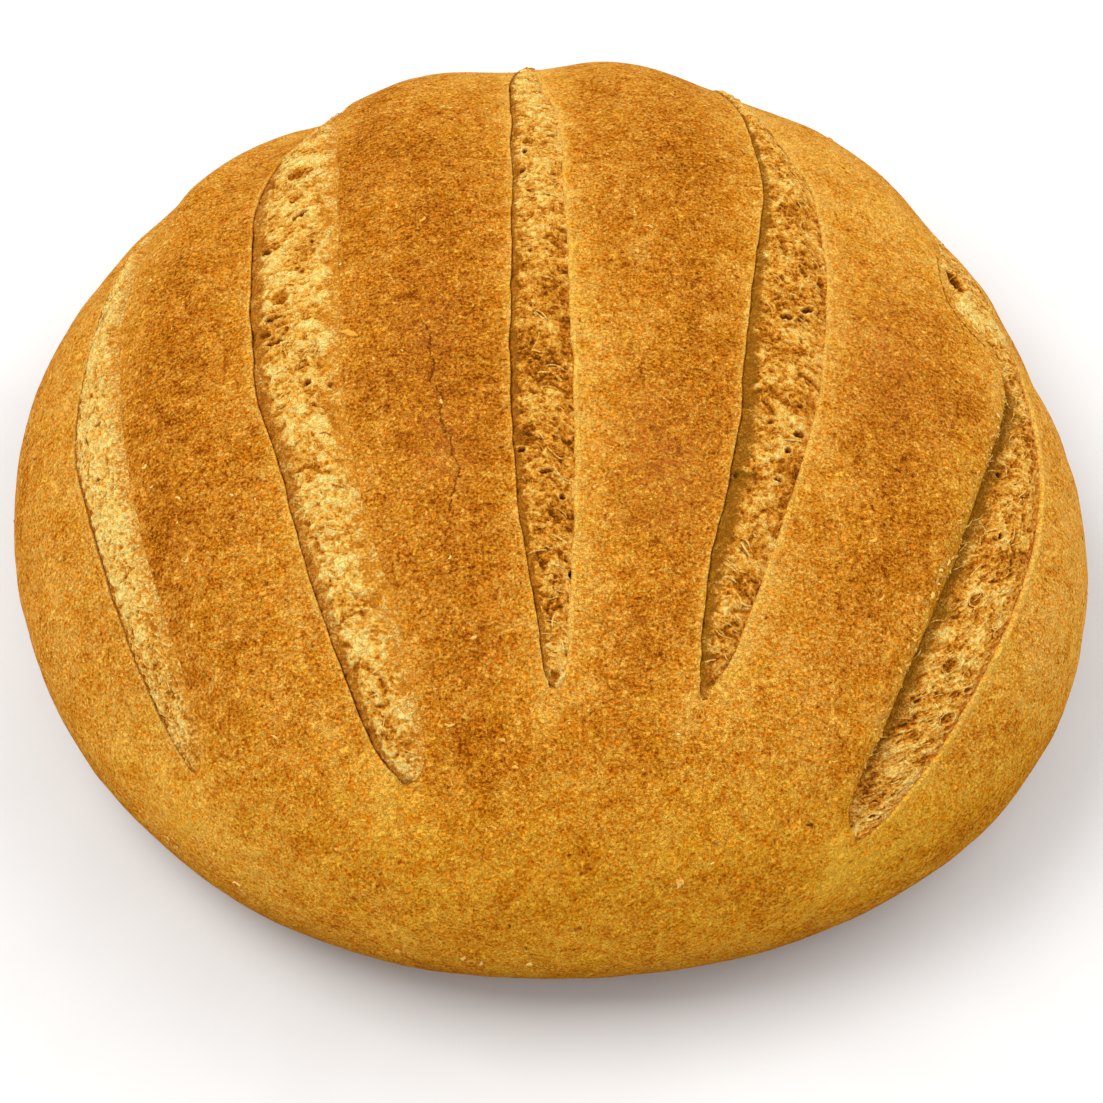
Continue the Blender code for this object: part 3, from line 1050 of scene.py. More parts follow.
def build_crumb(number):
    """One slash's crumb: a closed strip, whose edges lie buried under the crust."""
    slash = SLASHES[number]
    far, near = slash["rims"][0][0] + CRUMB_OVERRUN, slash["rims"][-1][0] - CRUMB_OVERRUN
    rows = int((far - near) * SHEET_REACH / CRUMB_CELL)
    mesh = bmesh.new()
    bmesh.ops.create_grid(mesh, x_segments=CRUMB_COLUMNS, y_segments=rows, size=1.0)
    flat = np.array([vert.co[:] for vert in mesh.verts])
    column = np.rint((flat[:, 0] + 1.0) / 2.0 * CRUMB_COLUMNS).astype(int)
    row = np.rint((flat[:, 1] + 1.0) / 2.0 * rows).astype(int)
    along = near + (far - near) * (flat[:, 1] + 1.0) / 2.0
    left, right, _, open_share = opened(slash, along)
    start = left + CRUMB_STARTS[slash["edges"][0]] * depth_share(slash, along) * open_share / SHEET_REACH
    end = right + CRUMB_ENDS[slash["edges"][1]] * open_share / SHEET_REACH
    share = np.clip((column - 1.0) / (CRUMB_COLUMNS - 2.0), 0.0, 1.0)
    across = start + (end - start) * share
    drop, looks = crumb_surface(number, across, along)
    buried = (column == 0) | (column == CRUMB_COLUMNS) | (row == 0) | (row == rows)
    drop = np.where(buried, drop + POCKET_DEPTH * BURIED_SHARE, drop)
    for vert, point in zip(mesh.verts, inside_box(sheet_points(across, along, drop))):
        vert.co = point

    def stands_on(edge, wanted):
        return all(column[vert.index] == wanted for vert in edge.verts)

    mesh.verts.index_update()
    sides = [edge for edge in border_edges(mesh) if stands_on(edge, 0) or stands_on(edge, CRUMB_COLUMNS)]
    bmesh.ops.bridge_loops(mesh, edges=sides)
    bmesh.ops.holes_fill(mesh, edges=border_edges(mesh), sides=0)
    bmesh.ops.triangulate(mesh, faces=[face for face in mesh.faces if len(face.verts) > 4])
    obj = finished(mesh, "crumb_" + slash["name"], crumb_material())
    for name, mask in looks.items():
        float_attribute(obj.data, name, mask)
    return obj


# --- strands and flakes ---------------------------------------------------------------------------------


def smoothed(values):
    """Values along a line, each eased towards its two neighbours."""
    return np.convolve(np.pad(values, 1, mode="edge"), [0.25, 0.5, 0.25], mode="valid")


def add_strand(mesh, number, across, along, heading, length, turn, radius, lift):
    """A thin tapered strand that lies in an arc over a slash's crumb."""
    ball = bmesh.ops.create_uvsphere(mesh, u_segments=STRAND_SIDES, v_segments=STRAND_STEPS, radius=1.0)
    verts = ball["verts"]
    flat = np.array([vert.co[:] for vert in verts])
    reach = flat[:, 2]
    angle = heading + turn * reach / 2.0
    bend = turn if abs(turn) > 0.01 else 0.01
    beside = (np.sin(angle) - math.sin(heading)) * length / bend
    ahead = (math.cos(heading) - np.cos(angle)) * length / bend
    centre_across, centre_along = across + beside / SHEET_REACH, along + ahead / SHEET_REACH
    drop, _ = crumb_surface(number, centre_across, centre_along)
    steps = np.unique(reach)
    smooth_drop = np.interp(reach, steps, smoothed(np.array([drop[reach == step].mean() for step in steps])))
    thick = radius * (1.0 - reach**2) ** 0.15
    ring = np.hypot(flat[:, 0], flat[:, 1])
    out = flat[:, 0] / np.maximum(ring, 1e-6) * (ring > 1e-4) * thick
    rise = flat[:, 1] / np.maximum(ring, 1e-6) * (ring > 1e-4) * thick
    points = sheet_points(
        centre_across - np.sin(angle) * out / SHEET_REACH,
        centre_along + np.cos(angle) * out / SHEET_REACH,
        smooth_drop - lift * (1.0 - reach**2) - rise,
    )
    for vert, point in zip(verts, inside_box(points)):
        vert.co = point


def build_strands():
    """Thin strands that stand over the torn crumb, and the rings round its bubbles, as one mesh."""
    chance = np.random.default_rng(11)
    mesh = bmesh.new()
    for number, slash in enumerate(SLASHES):
        far, near = slash["rims"][0][0], slash["rims"][-1][0]
        for _ in range(slash["strands"]):
            along = chance.uniform(near + 0.03, far - 0.06)
            left, right = rims(slash, along)
            least = 0.16 if slash["olive_shade"] == 1.0 else 0.25
            across = left + (right - left) * chance.uniform(least, 0.85)
            heading = math.radians(slash["slant"]) + chance.normal(0.0, 0.45)
            length = min(chance.uniform(0.0012, 0.0040), (right - left) * SHEET_REACH * 0.8)
            turn = chance.uniform(-1.6, 1.6)
            radius = STRAND_RADIUS * chance.uniform(0.6, 1.3)
            lift = chance.uniform(0.00005, 0.00035)
            add_strand(mesh, number, across, along, heading, length, turn, radius, lift)
    for number, across, along, radius in RINGS:
        start = along - radius / SHEET_REACH
        add_strand(mesh, number, across, start, 0.0, radius * 5.6, 5.6, STRAND_RADIUS, 0.0001)
        add_strand(mesh, number, across, start, 1.0, radius * 3.2, -3.0, STRAND_RADIUS * 0.8, 0.0002)
    count = len(mesh.verts)
    obj = finished(mesh, "strands", crumb_material())
    places = np.array([vert.co[:] for vert in obj.data.vertices])
    looks = {"tone": 0.84 + 0.30 * spots(places, 0.0030, 71)}
    for name in ("band", "olive_shade", "red", "soft"):
        looks[name] = np.zeros(count)
    for name, mask in looks.items():
        float_attribute(obj.data, name, mask)
    return obj


def crust_drop(across, along):
    """How far the finished crust lies below the sheet, away from the slashes."""
    vale = vale_drop(across, along)
    return vale + crust_lumps(sheet_points(across, along, vale))


def add_flake(mesh, across, along, radius, turn, seed, lower=0.0):
    """An uneven flat flake that lies on the crust, lowered further where the crust rolls into a slash."""
    verts = bmesh.ops.create_icosphere(mesh, subdivisions=2, radius=1.0)["verts"]
    flat = np.array([vert.co[:] for vert in verts])
    flat *= (1.0 + FLAKE_UNEVENNESS * spots(flat, 0.6, seed))[:, None]
    long_way = flat[:, 0] * radius
    short_way = flat[:, 1] * radius * FLAKE_WIDTH + (flat[:, 0] ** 2) * radius * FLAKE_BEND
    curl = (flat[:, 0] ** 2) * radius * FLAKE_CURL
    beside = long_way * math.cos(turn) - short_way * math.sin(turn)
    ahead = long_way * math.sin(turn) + short_way * math.cos(turn)
    at_across = across + beside / SHEET_REACH
    at_along = np.clip(along + ahead / SHEET_REACH, -0.999, 0.999)
    drop = crust_drop(np.full_like(beside, across), np.full_like(beside, along)) + lower
    rise = flat[:, 2] * radius * FLAKE_THICKNESS + curl
    for vert, point in zip(verts, inside_box(sheet_points(at_across, at_along, drop - rise))):
        vert.co = point
    return len(verts)


def clear_of_slashes(across, along):
    """Whether a place lies on the crust, clear of every slash."""
    right_margin, left_margin = FLAKE_MARGINS
    for slash in SLASHES:
        left, right = rims(slash, along)
        if -right_margin < (right - across) * SHEET_REACH < (right - left) * SHEET_REACH + left_margin:
            return False
    return True


def scattered_flakes(chance, count):
    """Flakes at random places, as (across, along, radius, how burnt)."""
    flakes = []
    while len(flakes) < count:
        across, along = chance.uniform(-0.90, 0.90), chance.uniform(-0.97, 0.97)
        radius = FLAKE_RADII[0] + FLAKE_RADII[1] * chance.random() ** 3
        seen = along < 0.0 or math.hypot(across, along) < FLAKE_LIMIT
        if seen and clear_of_slashes(across, along):
            flakes.append((across, along, radius, float(chance.random() < BURNT_SHARE) * 0.8))
    return flakes


def build_flakes():
    """Flakes and a few burnt grains on the crust, and the fringe of the rolled edge, as one mesh."""
    form = bpy.context.scene.loaf_form
    chance = np.random.default_rng(5)
    mesh = bmesh.new()
    burnt = []
    flakes = list(NAMED_FLAKES) + scattered_flakes(chance, form.flakes)
    for index, (across, along, radius, how_burnt) in enumerate(flakes):
        turn = chance.uniform(0.0, math.pi)
        burnt += [how_burnt] * add_flake(mesh, across, along, radius, turn, 300 + index)
    rolled = SLASHES[-1]
    insets, drops = zip(*EDGE_FORMS["rolled"][:-1])
    for index in range(form.fringe):
        along = np.array([chance.uniform(*FRINGE_SPAN)])
        left = opened(rolled, along)[0]
        inset = chance.uniform(*FRINGE_INSETS)
        lower = np.interp(inset, insets, drops) * depth_share(rolled, along)
        radius, turn = chance.uniform(*FRINGE_RADII), chance.uniform(0.0, math.pi)
        how_burnt = 0.5 * float(chance.random() < 0.4)
        across = left[0] + inset / SHEET_REACH
        burnt += [how_burnt] * add_flake(mesh, across, along[0], radius, turn, 800 + index, lower[0])
    obj = finished(mesh, "flakes", flake_material())
    float_attribute(obj.data, "burnt", np.array(burnt))
    return obj


# --- materials ------------------------------------------------------------------------------------------

GRAIN_HEIGHT = 0.0003  # of the fine grain that only the light shows


def set_inputs(tree, node, inputs):
    """Sets a node's inputs to values, or links them from sockets."""
    for name, value in inputs.items():
        if isinstance(value, bpy.types.NodeSocket):
            tree.links.new(value, node.inputs[name])
        else:
            node.inputs[name].default_value = value


def add_node(tree, kind, inputs=None, **settings):
    """A node with its settings and inputs."""
    node = tree.nodes.new(kind)
    for name, value in settings.items():
        setattr(node, name, value)
    set_inputs(tree, node, inputs or {})
    return node


def add_group(tree, group, inputs):
    """A group's node with its inputs."""
    node = tree.nodes.new("ShaderNodeGroup")
    node.node_tree = group
    set_inputs(tree, node, inputs)
    return node


def maths(tree, operation, first, second=0.0, third=0.0):
    """The result of a maths node."""
    node = add_node(tree, "ShaderNodeMath", {0: first, 1: second, 2: third}, operation=operation)
    return node.outputs[0]


def vector_maths(tree, operation, first, second):
    """The result of a vector maths node."""
    node = add_node(tree, "ShaderNodeVectorMath", {0: first, 1: second}, operation=operation)
    return node.outputs["Value" if operation in ("DOT_PRODUCT", "DISTANCE") else "Vector"]


def remap(tree, value, low, high, to_low=0.0, to_high=1.0, kind="SMOOTHSTEP"):
    """A value moved from one range to another, and held inside it."""
    inputs = {"Value": value, "From Min": low, "From Max": high, "To Min": to_low, "To Max": to_high}
    return add_node(tree, "ShaderNodeMapRange", inputs, interpolation_type=kind).outputs[0]


def opaque(colour):
    """The colour with its fourth value, for a node's socket."""
    return tuple(colour) + (1.0,)


def colours_between(tree, share, stops):
    """A colour ramp, from (position, colour) stops."""
    node = add_node(tree, "ShaderNodeValToRGB", {"Fac": share})
    elements = node.color_ramp.elements
    while len(elements) < len(stops):
        elements.new(0.5)
    for element, (position, colour) in zip(elements, stops):
        element.position = position
        element.color = opaque(colour)
    return node.outputs[0]


def blend_colours(tree, share, first, second, blend_type="MIX"):
    """Two colours blended by a share."""
    node = add_node(tree, "ShaderNodeMix", data_type="RGBA", blend_type=blend_type)
    factor, first_colour, second_colour = 0, 6, 7
    set_inputs(tree, node, {factor: share, first_colour: first, second_colour: second})
    return node.outputs[2]


def attribute(tree, name):
    """One look that is kept with the mesh."""
    return add_node(tree, "ShaderNodeAttribute", attribute_name=name).outputs["Fac"]


def grain_group():
    """Speckle at one size, from 0 to 1: noise whose places are bent by a second, slower noise."""
    found = bpy.data.node_groups.get("baked grain")
    if found:
        return found
    tree = bpy.data.node_groups.new("baked grain", "ShaderNodeTree")
    tree.interface.new_socket("Coordinates", in_out="INPUT", socket_type="NodeSocketVector")
    for name, value in (("Size", 0.001), ("Bend", 0.5), ("Low", 0.28), ("High", 0.72)):
        socket = tree.interface.new_socket(name, in_out="INPUT", socket_type="NodeSocketFloat")
        socket.default_value = value
    tree.interface.new_socket("Grain", in_out="OUTPUT", socket_type="NodeSocketFloat")
    inside = add_node(tree, "NodeGroupInput")
    scale = maths(tree, "DIVIDE", 1.0, inside.outputs["Size"])
    slow = add_node(
        tree,
        "ShaderNodeTexNoise",
        {
            "Vector": inside.outputs["Coordinates"],
            "Scale": maths(tree, "MULTIPLY", scale, 0.6),
            "Detail": 1.0,
        },
    )
    reach = maths(tree, "MULTIPLY", inside.outputs["Size"], inside.outputs["Bend"])
    moved = add_node(tree, "ShaderNodeVectorMath", {0: slow.outputs["Color"]}, operation="SCALE")
    tree.links.new(reach, moved.inputs["Scale"])
    place = add_node(
        tree,
        "ShaderNodeVectorMath",
        {0: inside.outputs["Coordinates"], 1: moved.outputs[0]},
        operation="ADD",
    )
    speckle = add_node(
        tree,
        "ShaderNodeTexNoise",
        {"Vector": place.outputs[0], "Scale": scale, "Detail": 2.0, "Roughness": 0.6},
    )
    value = remap(tree, speckle.outputs["Fac"], inside.outputs["Low"], inside.outputs["High"], kind="LINEAR")
    add_node(tree, "NodeGroupOutput", {"Grain": value})
    return tree


def grain(tree, coordinates, size, bend=0.5, low=0.28, high=0.72):
    """Speckle of one size, in a material."""
    inputs = {"Coordinates": coordinates, "Size": size, "Bend": bend, "Low": low, "High": high}
    return add_group(tree, grain_group(), inputs).outputs["Grain"]


def new_material(name, specular):
    """An empty Principled material: its tree, its shader, and object coordinates."""
    material = bpy.data.materials.new(name)
    material.use_nodes = True
    tree = material.node_tree
    shader = tree.nodes["Principled BSDF"]
    shader.inputs["Metallic"].default_value = 0.0
    shader.inputs["Specular IOR Level"].default_value = specular
    coordinates = add_node(tree, "ShaderNodeTexCoord").outputs["Object"]
    return material, tree, shader, coordinates


def weighted(tree, parts):
    """The sum of sockets, each less one half and times its weight."""
    total = 0.0
    for socket, weight in parts:
        centred = maths(tree, "SUBTRACT", socket, 0.5)
        total = maths(tree, "MULTIPLY_ADD", centred, weight, total)
    return total


def crack_group():
    """How deep a place lies in a hairline crack: 1 on the line between two points, 0 away from it."""
    found = bpy.data.node_groups.get("hairline crack")
    if found:
        return found
    tree = bpy.data.node_groups.new("hairline crack", "ShaderNodeTree")
    for name in ("Place", "From", "To"):
        tree.interface.new_socket(name, in_out="INPUT", socket_type="NodeSocketVector")
    tree.interface.new_socket("Width", in_out="INPUT", socket_type="NodeSocketFloat")
    tree.interface.new_socket("Crack", in_out="OUTPUT", socket_type="NodeSocketFloat")
    inside = add_node(tree, "NodeGroupInput")
    start = inside.outputs["From"]
    away = vector_maths(tree, "SUBTRACT", inside.outputs["Place"], start)
    run = vector_maths(tree, "SUBTRACT", inside.outputs["To"], start)
    gone = vector_maths(tree, "DOT_PRODUCT", away, run)
    share = maths(tree, "DIVIDE", gone, vector_maths(tree, "DOT_PRODUCT", run, run))
    share = remap(tree, share, 0.0, 1.0, kind="LINEAR")
    nearest = add_node(tree, "ShaderNodeVectorMath", {0: run, "Scale": share}, operation="SCALE").outputs[0]
    distance = vector_maths(tree, "DISTANCE", away, nearest)
    add_node(tree, "NodeGroupOutput", {"Crack": remap(tree, distance, inside.outputs["Width"], 0.0)})
    return tree


def cracks_mask(tree, coordinates):
    """The hairline cracks, on places that a slow noise bends."""
    inputs = {"Vector": coordinates, "Scale": CRACK_BENDS_A_METRE, "Detail": 1.0}
    stray = add_node(tree, "ShaderNodeTexNoise", inputs).outputs["Color"]
    stray = vector_maths(tree, "SUBTRACT", stray, (0.5, 0.5, 0.5))
    bend = add_node(tree, "ShaderNodeVectorMath", {0: stray, "Scale": CRACK_BEND}, operation="SCALE")
    place = vector_maths(tree, "ADD", coordinates, bend.outputs[0])
    mask = 0.0
    for line in CRACKS:
        across, along = np.array(line).T
        points = sheet_points(across, along, crust_drop(across, along))
        for start, end in zip(points[:-1].tolist(), points[1:].tolist()):
            inputs = {"Place": place, "From": start, "To": end, "Width": CRACK_WIDTH}
            node = add_group(tree, crack_group(), inputs)
            mask = maths(tree, "MAXIMUM", node.outputs["Crack"], mask)
    return mask


def crust_material():
    """Baked crust: pale gold to dark brown by its looks and its grain, with painted highlights along the
    rims' lips, tints, painted shade and cracks over it.
    """
    colours = bpy.context.scene.loaf_colours
    material, tree, shader, coordinates = new_material("baked crust", 0.01)
    fleck = grain(tree, coordinates, 0.00066, 0.9)
    speck = grain(tree, coordinates, 0.00120, 0.9)
    mottle = grain(tree, coordinates, 0.0042, 0.6)
    cloud = grain(tree, coordinates, 0.0150, 0.5)
    dark_spot = grain(tree, coordinates, 0.00170, 1.2, 0.62, 0.74)
    light_spot = grain(tree, coordinates, 0.00095, 1.2, 0.60, 0.76)
    curls = remap(tree, maths(tree, "ABSOLUTE", maths(tree, "SUBTRACT", speck, 0.42)), 0.11, 0.0)
    patch = grain(tree, coordinates, 0.0024, 0.8)
    uneven = weighted(tree, ((fleck, 0.78), (speck, 0.38), (patch, 0.22), (mottle, 0.26), (cloud, 0.20)))
    tone = maths(tree, "ADD", attribute(tree, "browned"), uneven)
    tone = maths(tree, "MULTIPLY_ADD", dark_spot, 0.34, tone)
    tone = maths(tree, "MULTIPLY_ADD", light_spot, -0.40, tone)
    lines = remap(tree, maths(tree, "ABSOLUTE", maths(tree, "SUBTRACT", patch, 0.46)), 0.07, 0.0)
    tone = maths(tree, "MULTIPLY_ADD", curls, -0.20, tone)
    tone = maths(tree, "MULTIPLY_ADD", lines, -0.20, tone)
    # Painted highlight along the rims' lips.
    tone = maths(tree, "SUBTRACT", tone, maths(tree, "MULTIPLY", attribute(tree, "pale"), 0.45))
    stops = (
        (0.0, colours.pale_gold),
        (0.30, colours.golden),
        (0.55, colours.amber),
        (0.78, colours.brown),
        (1.0, colours.dark_brown),
    )
    colour = colours_between(tree, tone, stops)
    yellower = grain(tree, coordinates, 0.0075, 0.8, 0.46, 0.66)
    colour = blend_colours(tree, yellower, colour, opaque(YELLOWER), "MULTIPLY")
    torn = maths(tree, "MULTIPLY", attribute(tree, "torn"), grain(tree, coordinates, 0.0014, 0.8, 0.40, 0.60))
    colour = blend_colours(tree, torn, colour, opaque(colours.crumb_yellow))
    red = maths(tree, "MULTIPLY", attribute(tree, "red"), remap(tree, speck, 0.0, 1.0, 0.0, 0.36))
    colour = blend_colours(tree, red, colour, opaque(colours.dull_red))
    # The greenish, wall and under tints are painted shade; the warm one tints the near side.
    tints = {"olive_shade": colours.olive_shade, "warm": colours.warm, "wall": colours.wall, "under": colours.under}
    for name, tint in tints.items():
        colour = blend_colours(tree, attribute(tree, name), colour, opaque(tint), "MULTIPLY")
    crack = maths(tree, "MULTIPLY", cracks_mask(tree, coordinates), remap(tree, speck, 0.0, 0.6, 0.85, 1.0))
    colour = blend_colours(tree, crack, colour, opaque(colours.dark_brown))
    tree.links.new(colour, shader.inputs["Base Color"])
    tree.links.new(remap(tree, speck, 0.0, 1.0, 0.70, 0.90), shader.inputs["Roughness"])
    height = weighted(tree, ((fleck, -0.9), (curls, 0.9), (lines, 0.7), (mottle, -0.8), (light_spot, 0.8)))
    bump = add_node(tree, "ShaderNodeBump", {"Height": height, "Strength": 1.0, "Distance": GRAIN_HEIGHT})
    tree.links.new(bump.outputs[0], shader.inputs["Normal"])
    return material


def crumb_material():
    """Torn crumb: holes painted dark as shade, to pale strands, with the parts beside the rims, which baked
    browner or redder, and on the left are also painted with the rim's shadow.
    """
    found = bpy.data.materials.get("torn crumb")
    if found:
        return found
    colours = bpy.context.scene.loaf_colours
    material, tree, shader, coordinates = new_material("torn crumb", 0.04)
    fine = grain(tree, coordinates, 0.00055, 1.2)
    pore = grain(tree, coordinates, 0.00120, 1.2)
    curls = remap(tree, maths(tree, "ABSOLUTE", maths(tree, "SUBTRACT", pore, 0.5)), 0.13, 0.0)
    uneven = weighted(tree, ((fine, 0.55), (pore, 0.24), (curls, 0.22)))
    # Pinholes: sparse spots painted dark as shade.
    pinhole_shade = grain(tree, coordinates, 0.00110, 1.0, 0.64, 0.74)
    tone = maths(tree, "ADD", attribute(tree, "tone"), uneven)
    tone = maths(tree, "MULTIPLY_ADD", pinhole_shade, -0.46, tone)
    stops = (
        (0.0, colours.crumb_hole_shade),
        (0.20, colours.crumb_brown),
        (0.42, colours.crumb_orange),
        (0.66, colours.crumb_gold),
        (0.84, colours.crumb_yellow),
        (1.0, colours.crumb_pale),
    )
    colour = colours_between(tree, tone, stops)
    soft = maths(tree, "MULTIPLY", attribute(tree, "soft"), remap(tree, fine, 0.2, 0.8, 1.0, 0.25))
    colour = blend_colours(tree, soft, colour, opaque(colours.soft_edge))
    # The band beside the left rim, browned and darkened by painted shadow, and greenish painted shade in the
    # deeper slashes.
    speckled = remap(tree, fine, 0.15, 0.85, 1.0, 0.45)
    band = maths(tree, "MULTIPLY", attribute(tree, "band"), speckled)
    colour = blend_colours(tree, band, colour, opaque(colours.band))
    olive_shade = maths(tree, "MULTIPLY", attribute(tree, "olive_shade"), speckled)
    colour = blend_colours(tree, olive_shade, colour, opaque(colours.olive_shade_band))
    red = maths(tree, "MULTIPLY", attribute(tree, "red"), remap(tree, pore, 0.2, 0.9))
    colour = blend_colours(tree, red, colour, opaque(colours.red_edge))
    tree.links.new(colour, shader.inputs["Base Color"])
    tree.links.new(remap(tree, pore, 0.0, 1.0, 0.60, 0.85), shader.inputs["Roughness"])
    height = weighted(tree, ((fine, 0.8), (pore, 0.5), (curls, 0.8)))
    bump = add_node(tree, "ShaderNodeBump", {"Height": height, "Strength": 1.0, "Distance": GRAIN_HEIGHT})
    tree.links.new(bump.outputs[0], shader.inputs["Normal"])
    return material


def flake_material():
    """Loose flakes: golden to pale, or burnt."""
    colours = bpy.context.scene.loaf_colours
    material, tree, shader, coordinates = new_material("loose flakes", 0.05)
    fine = grain(tree, coordinates, 0.0005, 0.8)
    patch = grain(tree, coordinates, 0.0200, 0.8)
    tone = weighted(tree, ((fine, 0.5), (patch, 0.9)))
    stops = ((0.0, colours.golden), (0.5, colours.crumb_gold), (1.0, colours.crumb_pale))
    colour = colours_between(tree, maths(tree, "ADD", tone, 0.62), stops)
    colour = blend_colours(tree, attribute(tree, "burnt"), colour, opaque(colours.dark_brown))
    tree.links.new(colour, shader.inputs["Base Color"])
    tree.links.new(remap(tree, fine, 0.0, 1.0, 0.6, 0.85), shader.inputs["Roughness"])
    bump = add_node(tree, "ShaderNodeBump", {"Height": fine, "Strength": 0.5, "Distance": 0.0002})
    tree.links.new(bump.outputs[0], shader.inputs["Normal"])
    return material


def floor_material():
    """A plain pale floor."""
    material, tree, shader, coordinates = new_material("pale floor", 0.2)
    value = grain(tree, coordinates, 0.05, 0.5)
    colour = colours_between(tree, value, ((0.0, FLOOR_COLOURS[0]), (1.0, FLOOR_COLOURS[1])))
    tree.links.new(colour, shader.inputs["Base Color"])
    shader.inputs["Roughness"].default_value = 0.9
    return material


# --- the stage ------------------------------------------------------------------------------------------

FLOOR_SIZE = 6.0
FLOOR_COLOURS = ((0.80, 0.80, 0.80), (0.84, 0.84, 0.84))
CAMERA_PLACE = (0.0, -0.3591, 0.5496)
CAMERA_AIM = (0.0010, -0.0153, 0.0261)
CAMERA_LENS = 82.95
LIGHT_AIM = (0.0, 0.0, 0.03)
# Each light: its name, place, side lengths, power and colour. They all face the loaf.
LIGHTS = (
    ("window", (-0.75, 0.10, 1.40), (0.9, 0.9), 14.5, (1.0, 0.985, 0.955)),
    ("fill", (1.05, 0.40, 1.05), (1.2, 1.2), 9.0, (1.0, 0.985, 0.955)),
)
SKY_COLOUR = (0.97, 0.985, 1.0)
SKY_STRENGTH = 0.68


def aimed(place, target):
    """The matrix of a camera or light at place that looks at target."""
    away = (Vector(target) - Vector(place)).to_track_quat("-Z", "Y")
    return Matrix.Translation(place) @ away.to_matrix().to_4x4()


def build_floor():
    """The floor that the loaf lies on."""
    mesh = bmesh.new()
    bmesh.ops.create_grid(mesh, x_segments=8, y_segments=8, size=FLOOR_SIZE / 2.0)
    bmesh.ops.translate(mesh, verts=mesh.verts[:], vec=(0.0, 0.0, LOAF_LOW.z))
    data = bpy.data.meshes.new("floor")
    mesh.to_mesh(data)
    mesh.free()
    data.materials.append(floor_material())
    floor = bpy.data.objects.new("floor", data)
    bpy.context.scene.collection.objects.link(floor)


def build_lights():
    """The window, the fill and the pale sky."""
    stage = bpy.context.scene.loaf_stage
    for name, place, sides, power, colour in LIGHTS:
        data = bpy.data.lights.new(name, "AREA")
        data.shape = "RECTANGLE"
        data.size, data.size_y = sides
        data.energy = power * stage.brightness
        data.color = colour
        light = bpy.data.objects.new(name, data)
        light.matrix_world = aimed(place, LIGHT_AIM)
        bpy.context.scene.collection.objects.link(light)
    world = bpy.data.worlds.new("pale room")
    world.use_nodes = True
    background = world.node_tree.nodes["Background"]
    background.inputs["Color"].default_value = opaque(SKY_COLOUR)
    background.inputs["Strength"].default_value = SKY_STRENGTH * stage.brightness
    bpy.context.scene.world = world
    bpy.context.scene.view_settings.view_transform = "Standard"


def build_camera():
    """The camera, from above the near side."""
    data = bpy.data.cameras.new("camera")
    data.lens = CAMERA_LENS
    data.clip_start = 0.01
    data.clip_end = 20.0
    camera = bpy.data.objects.new("camera", data)
    level = Vector((SHIFT[0], SHIFT[1], LOAF_LOW.z))
    camera.matrix_world = aimed(Vector(CAMERA_PLACE) + level, Vector(CAMERA_AIM) + level)
    bpy.context.scene.collection.objects.link(camera)
    bpy.context.scene.camera = camera


# --- properties, operators and the panel ----------------------------------------------------------------


class LoafForm(bpy.types.PropertyGroup):
    """Sizes and counts of the loaf's fine forms."""

    lump_height: FloatProperty(
        name="Lump height",
        description="How deep the crust's slow dents are",
        default=0.0007,
        unit="LENGTH",
    )
    crumb_relief: FloatProperty(
        name="Crumb relief",
        description="Height of the torn crumb's walls and clumps",
        default=0.00085,
        unit="LENGTH",
    )
    flakes: IntProperty(name="Flakes", description="How many flakes are scattered", default=260, min=0)
    fringe: IntProperty(
        name="Fringe",
        description="How many flakes fringe the rolled edge",
        default=170,
        min=0,
    )


def colour_property(name, description, value):
    """A colour that a user can change."""
    return FloatVectorProperty(
        name=name, description=description, default=value, subtype="COLOR", size=3, min=0.0, max=1.0
    )


class LoafColours(bpy.types.PropertyGroup):
    """Colours of the crust, the crumb and the flakes."""

    pale_gold: colour_property("Pale gold", "The crust's lightest flecks", (0.98, 0.525, 0.092))
    golden: colour_property("Golden", "Lightly baked crust", (0.79, 0.302, 0.026))
    amber: colour_property("Amber", "The crust's middle tone", (0.60, 0.187, 0.0092))
    brown: colour_property("Brown", "Well baked crust", (0.38, 0.096, 0.0040))
    dark_brown: colour_property("Dark brown", "The crust's darkest specks", (0.17, 0.036, 0.0004))
    dull_red: colour_property("Dull red", "Dull reddish patches of the crust", (0.54, 0.155, 0.030))
    # Painted shade of the crust away from the light.
    olive_shade: colour_property("Olive", "What the olive crust is darkened by", (0.88, 0.95, 0.75))
    warm: colour_property("Warm", "What the crust of the near side is tinted by", (1.0, 0.95, 0.48))
    # Painted shade of the rolled wall, which faces away from the light.
    wall: colour_property("Wall", "What the rolled wall is darkened by", (0.95, 0.98, 0.50))
    # Painted shade of the turned-in side.
    under: colour_property("Under the loaf", "What the turned-in side is darkened by", (0.55, 0.49, 0.23))
    crumb_pale: colour_property("Crumb, pale", "Tops of the torn strands", (0.99, 0.73, 0.22))
    crumb_gold: colour_property("Crumb, gold", "Light crumb", (0.86, 0.395, 0.046))
    crumb_yellow: colour_property("Crumb, yellow", "Bright crumb", (0.97, 0.55, 0.10))
    crumb_orange: colour_property("Crumb, orange", "Middle tone of the crumb", (0.61, 0.205, 0.010))
    # The crumb's pits, partly painted shade.
    crumb_brown: colour_property("Crumb, brown", "Pits of the crumb", (0.37, 0.095, 0.0010))
    # Painted shade of the deep holes.
    crumb_hole_shade: colour_property("Crumb, dark", "Deep holes", (0.13, 0.040, 0.0008))
    # Browned, and partly painted shadow of the left rim.
    band: colour_property("Band", "Crumb that baked beside the left rim", (0.46, 0.150, 0.010))
    # Painted greenish shade over that band.
    olive_shade_band: colour_property("Olive band", "The same in the deeper slashes", (0.27, 0.112, 0.004))
    red_edge: colour_property("Red edge", "Crumb that baked beside the right rim", (0.66, 0.17, 0.014))
    soft_edge: colour_property("Soft edge", "Crumb that meets the crust without a lip", (0.66, 0.235, 0.014))


